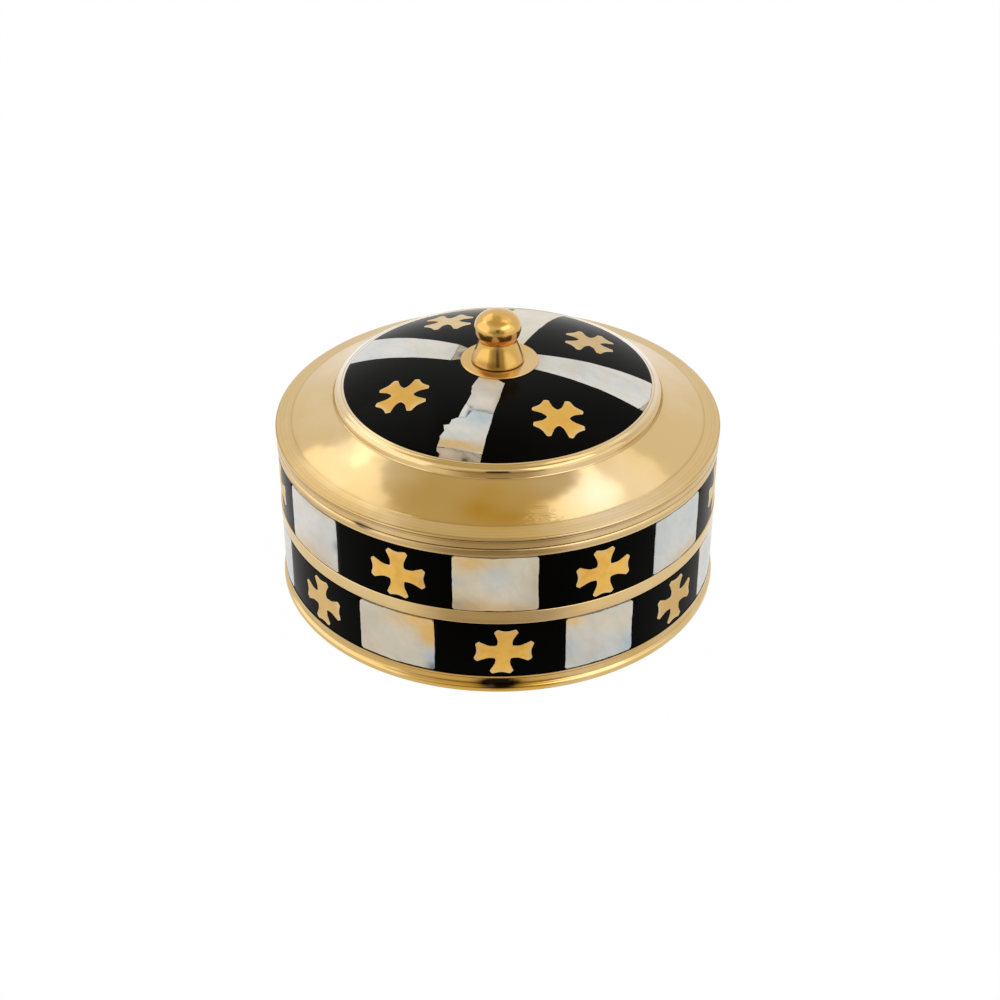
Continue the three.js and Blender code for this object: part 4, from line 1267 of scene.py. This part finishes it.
def floor_finish():
    """The camera and the brass see almost plain white. In front of the box the glow is dimmed for mirrored
    rays only, a painted shadow on the floor that the brass mirrors, which is why the rings are darker
    there."""
    material, tree, shader, place = start_finish(
        "white floor", Base_Color=(0.88, 0.88, 0.88, 1), Roughness=0.9)
    distance = split(tree, place)["Y"]
    aim = add_node(tree, "ShaderNodeVectorMath", {"operation": "NORMALIZE"}, {0: place}).outputs[0]
    in_front = product(tree, stretch(tree, distance, -50 * MM, -64 * MM),
                       stretch(tree, split(tree, aim)["Y"], -0.84, -0.96))
    rays = tree.nodes.new("ShaderNodeLightPath").outputs
    mirrored = add_node(tree, "ShaderNodeMath", {"operation": "MAXIMUM"}, {
        0: rays["Is Glossy Ray"], 1: rays["Is Transmission Ray"]}).outputs[0]
    dim = product(tree, mirrored, in_front)
    colour = blend_colours(tree, dim, PLAIN_WHITE, FLOOR_SHADOW)
    glow = add_node(tree, "ShaderNodeEmission", (), {"Color": colour, "Strength": 1.0}).outputs[0]
    share = product(tree, rays["Is Camera Ray"], 0.99, product(tree, mirrored, 0.85))
    mixed = add_node(tree, "ShaderNodeMixShader", (), {0: share, 1: shader.outputs[0], 2: glow})
    tree.links.new(mixed.outputs[0], tree.nodes["Material Output"].inputs["Surface"])
    return material


floor_corners = [(x * FLOOR_SIDE, y * FLOOR_SIDE, 0) for x, y in ((-1, -1), (1, -1), (1, 1), (-1, 1))]
floor = add_sheet("floor", floor_corners, floor_finish())
print(f"floor {2 * FLOOR_SIDE:.0f} m wide")

# %% [markdown]
# The world could be one flat white, but then brass would look like paper. It is white all round, with a
# warm grey ceiling, which the front of the shoulder mirrors, and a dim side where the camera stands.

# %% World
ROOM_WHITE = (0.95, 0.95, 0.95, 1)
CEILING_GREY = (0.64, 0.57, 0.38, 1)
DIM_SIDE = (0.42, 0.35, 0.26, 1)


def add_world():
    """A white world for the camera, and for everything else a ceiling and a dim front by direction."""
    world = bpy.data.worlds.new("studio")
    world.use_nodes = True
    bpy.context.scene.world = world
    tree = world.node_tree
    parts = split(tree, tree.nodes.new("ShaderNodeTexCoord").outputs["Generated"])
    ceiling = stretch(tree, parts["Z"], 0.75, 0.92)
    around = blend_colours(tree, ceiling, ROOM_WHITE, CEILING_GREY)
    front = stretch(tree, parts["Y"], -0.70, -0.90)
    sides = blend_colours(tree, front, around, DIM_SIDE)
    rays = tree.nodes.new("ShaderNodeLightPath").outputs
    seen = blend_colours(tree, rays["Is Camera Ray"], sides, PLAIN_WHITE)
    tree.links.new(seen, tree.nodes["Background"].inputs["Color"])
    tree.nodes["Background"].inputs["Strength"].default_value = 1.0


add_world()
print("world:", bpy.context.scene.world.name)

# %% [markdown]
# Each light is there for something that the brass mirrors. The left box and the left reflector make the
# broad pale left of the shoulder. The right box, its spill and the right reflector make the bright right,
# and a small light on the right front gives the knob its highlight. The black camera that took the picture
# is a dark card. It is mirrored as the dark dot on the knob and the dark line on the bead.

# %% Lights
OVERHEAD = 0.94


def add_softbox(name, place, target, width, height, glow):
    """A rectangular soft box at a place in metres, turned towards a target. Its power is pi x its area x
    the brightness that it adds where brass mirrors it."""
    light = bpy.data.lights.new(name, "AREA")
    light.shape = "RECTANGLE"
    light.size = width
    light.size_y = height
    light.energy = math.pi * width * height * glow
    lamp = bpy.data.objects.new(name, light)
    lamp.location = place
    lamp.rotation_euler = (Vector(target) - Vector(place)).to_track_quat("-Z", "Y").to_euler()
    bpy.context.scene.collection.objects.link(lamp)
    print(f"{name}: {light.energy:.2f} W")


def add_overhead_softbox(name, left, right, front, back, glow):
    """A soft box that faces straight down from about 0.9 m above the lid, between these places in
    metres."""
    middle_x, middle_y = (left + right) / 2, (front + back) / 2
    add_softbox(name, (middle_x, middle_y, OVERHEAD), (middle_x, middle_y, 0),
                right - left, back - front, glow)


def add_camera_body():
    """A dark card behind the camera of this scene, which only the brass sees."""
    material = start_finish("camera black", Base_Color=(0.01, 0.01, 0.01, 1))[0]
    card = add_sheet("camera_body", [(-0.06, -0.42, 0.13), (0.06, -0.42, 0.13), (0.06, -0.46, 0.40),
                                     (-0.06, -0.46, 0.40)], material)
    card.visible_camera = False
    card.visible_diffuse = False
    card.visible_shadow = False


add_overhead_softbox("left softbox", -1.08, -0.25, 0.20, 1.08, 0.6)
add_overhead_softbox("right softbox", 0.22, 0.58, 0.00, 0.26, 0.9)
add_overhead_softbox("right spill", 0.13, 0.90, -0.03, 0.62, 0.3)
add_softbox("left reflector", (-0.60, -0.125, 0.36), (0, -0.125, 0.36), 0.91, 0.72, 0.6)
add_softbox("right reflector", (0.60, -0.50, 0.40), (0, -0.50, 0.40), 1.00, 0.62, 0.4)
add_softbox("knob light", (0.45, -0.40, 0.62), (0, 0, 0.055), 0.60, 0.34, 1.4)
add_camera_body()

# %% [markdown]
# The photograph was taken from the front and above with a long lens, so the ellipses of the box are open
# and its sides hardly converge. The numbers are those that lay the solids over the photograph.

# %% Camera
SENSOR = 36
LENS_OVER_SENSOR = 1.913495


def add_camera():
    """A camera that looks down at a point just above the foot, from straight in front."""
    elevation = math.radians(33.541)
    distance = 0.400803
    look_height = 0.015008
    camera_data = bpy.data.cameras.new("camera")
    camera_data.lens = SENSOR * LENS_OVER_SENSOR
    camera_data.sensor_width = SENSOR
    camera_data.shift_x = 0.0022
    camera_data.clip_start = 0.01
    camera = bpy.data.objects.new("camera", camera_data)
    camera.location = (0, -distance * math.cos(elevation), look_height + distance * math.sin(elevation))
    camera.rotation_euler = (math.pi / 2 - elevation, 0, 0)
    bpy.context.scene.collection.objects.link(camera)
    bpy.context.scene.camera = camera
    print(f"lens {camera_data.lens:.1f} mm, {distance:.2f} m from the box")


add_camera()
bpy.context.scene.view_settings.view_transform = "Standard"

# %% [markdown]
# The last step brings the scene up to date, so that every piece stands where its body holds it.

# %% Update the scene
bpy.context.view_layer.update()
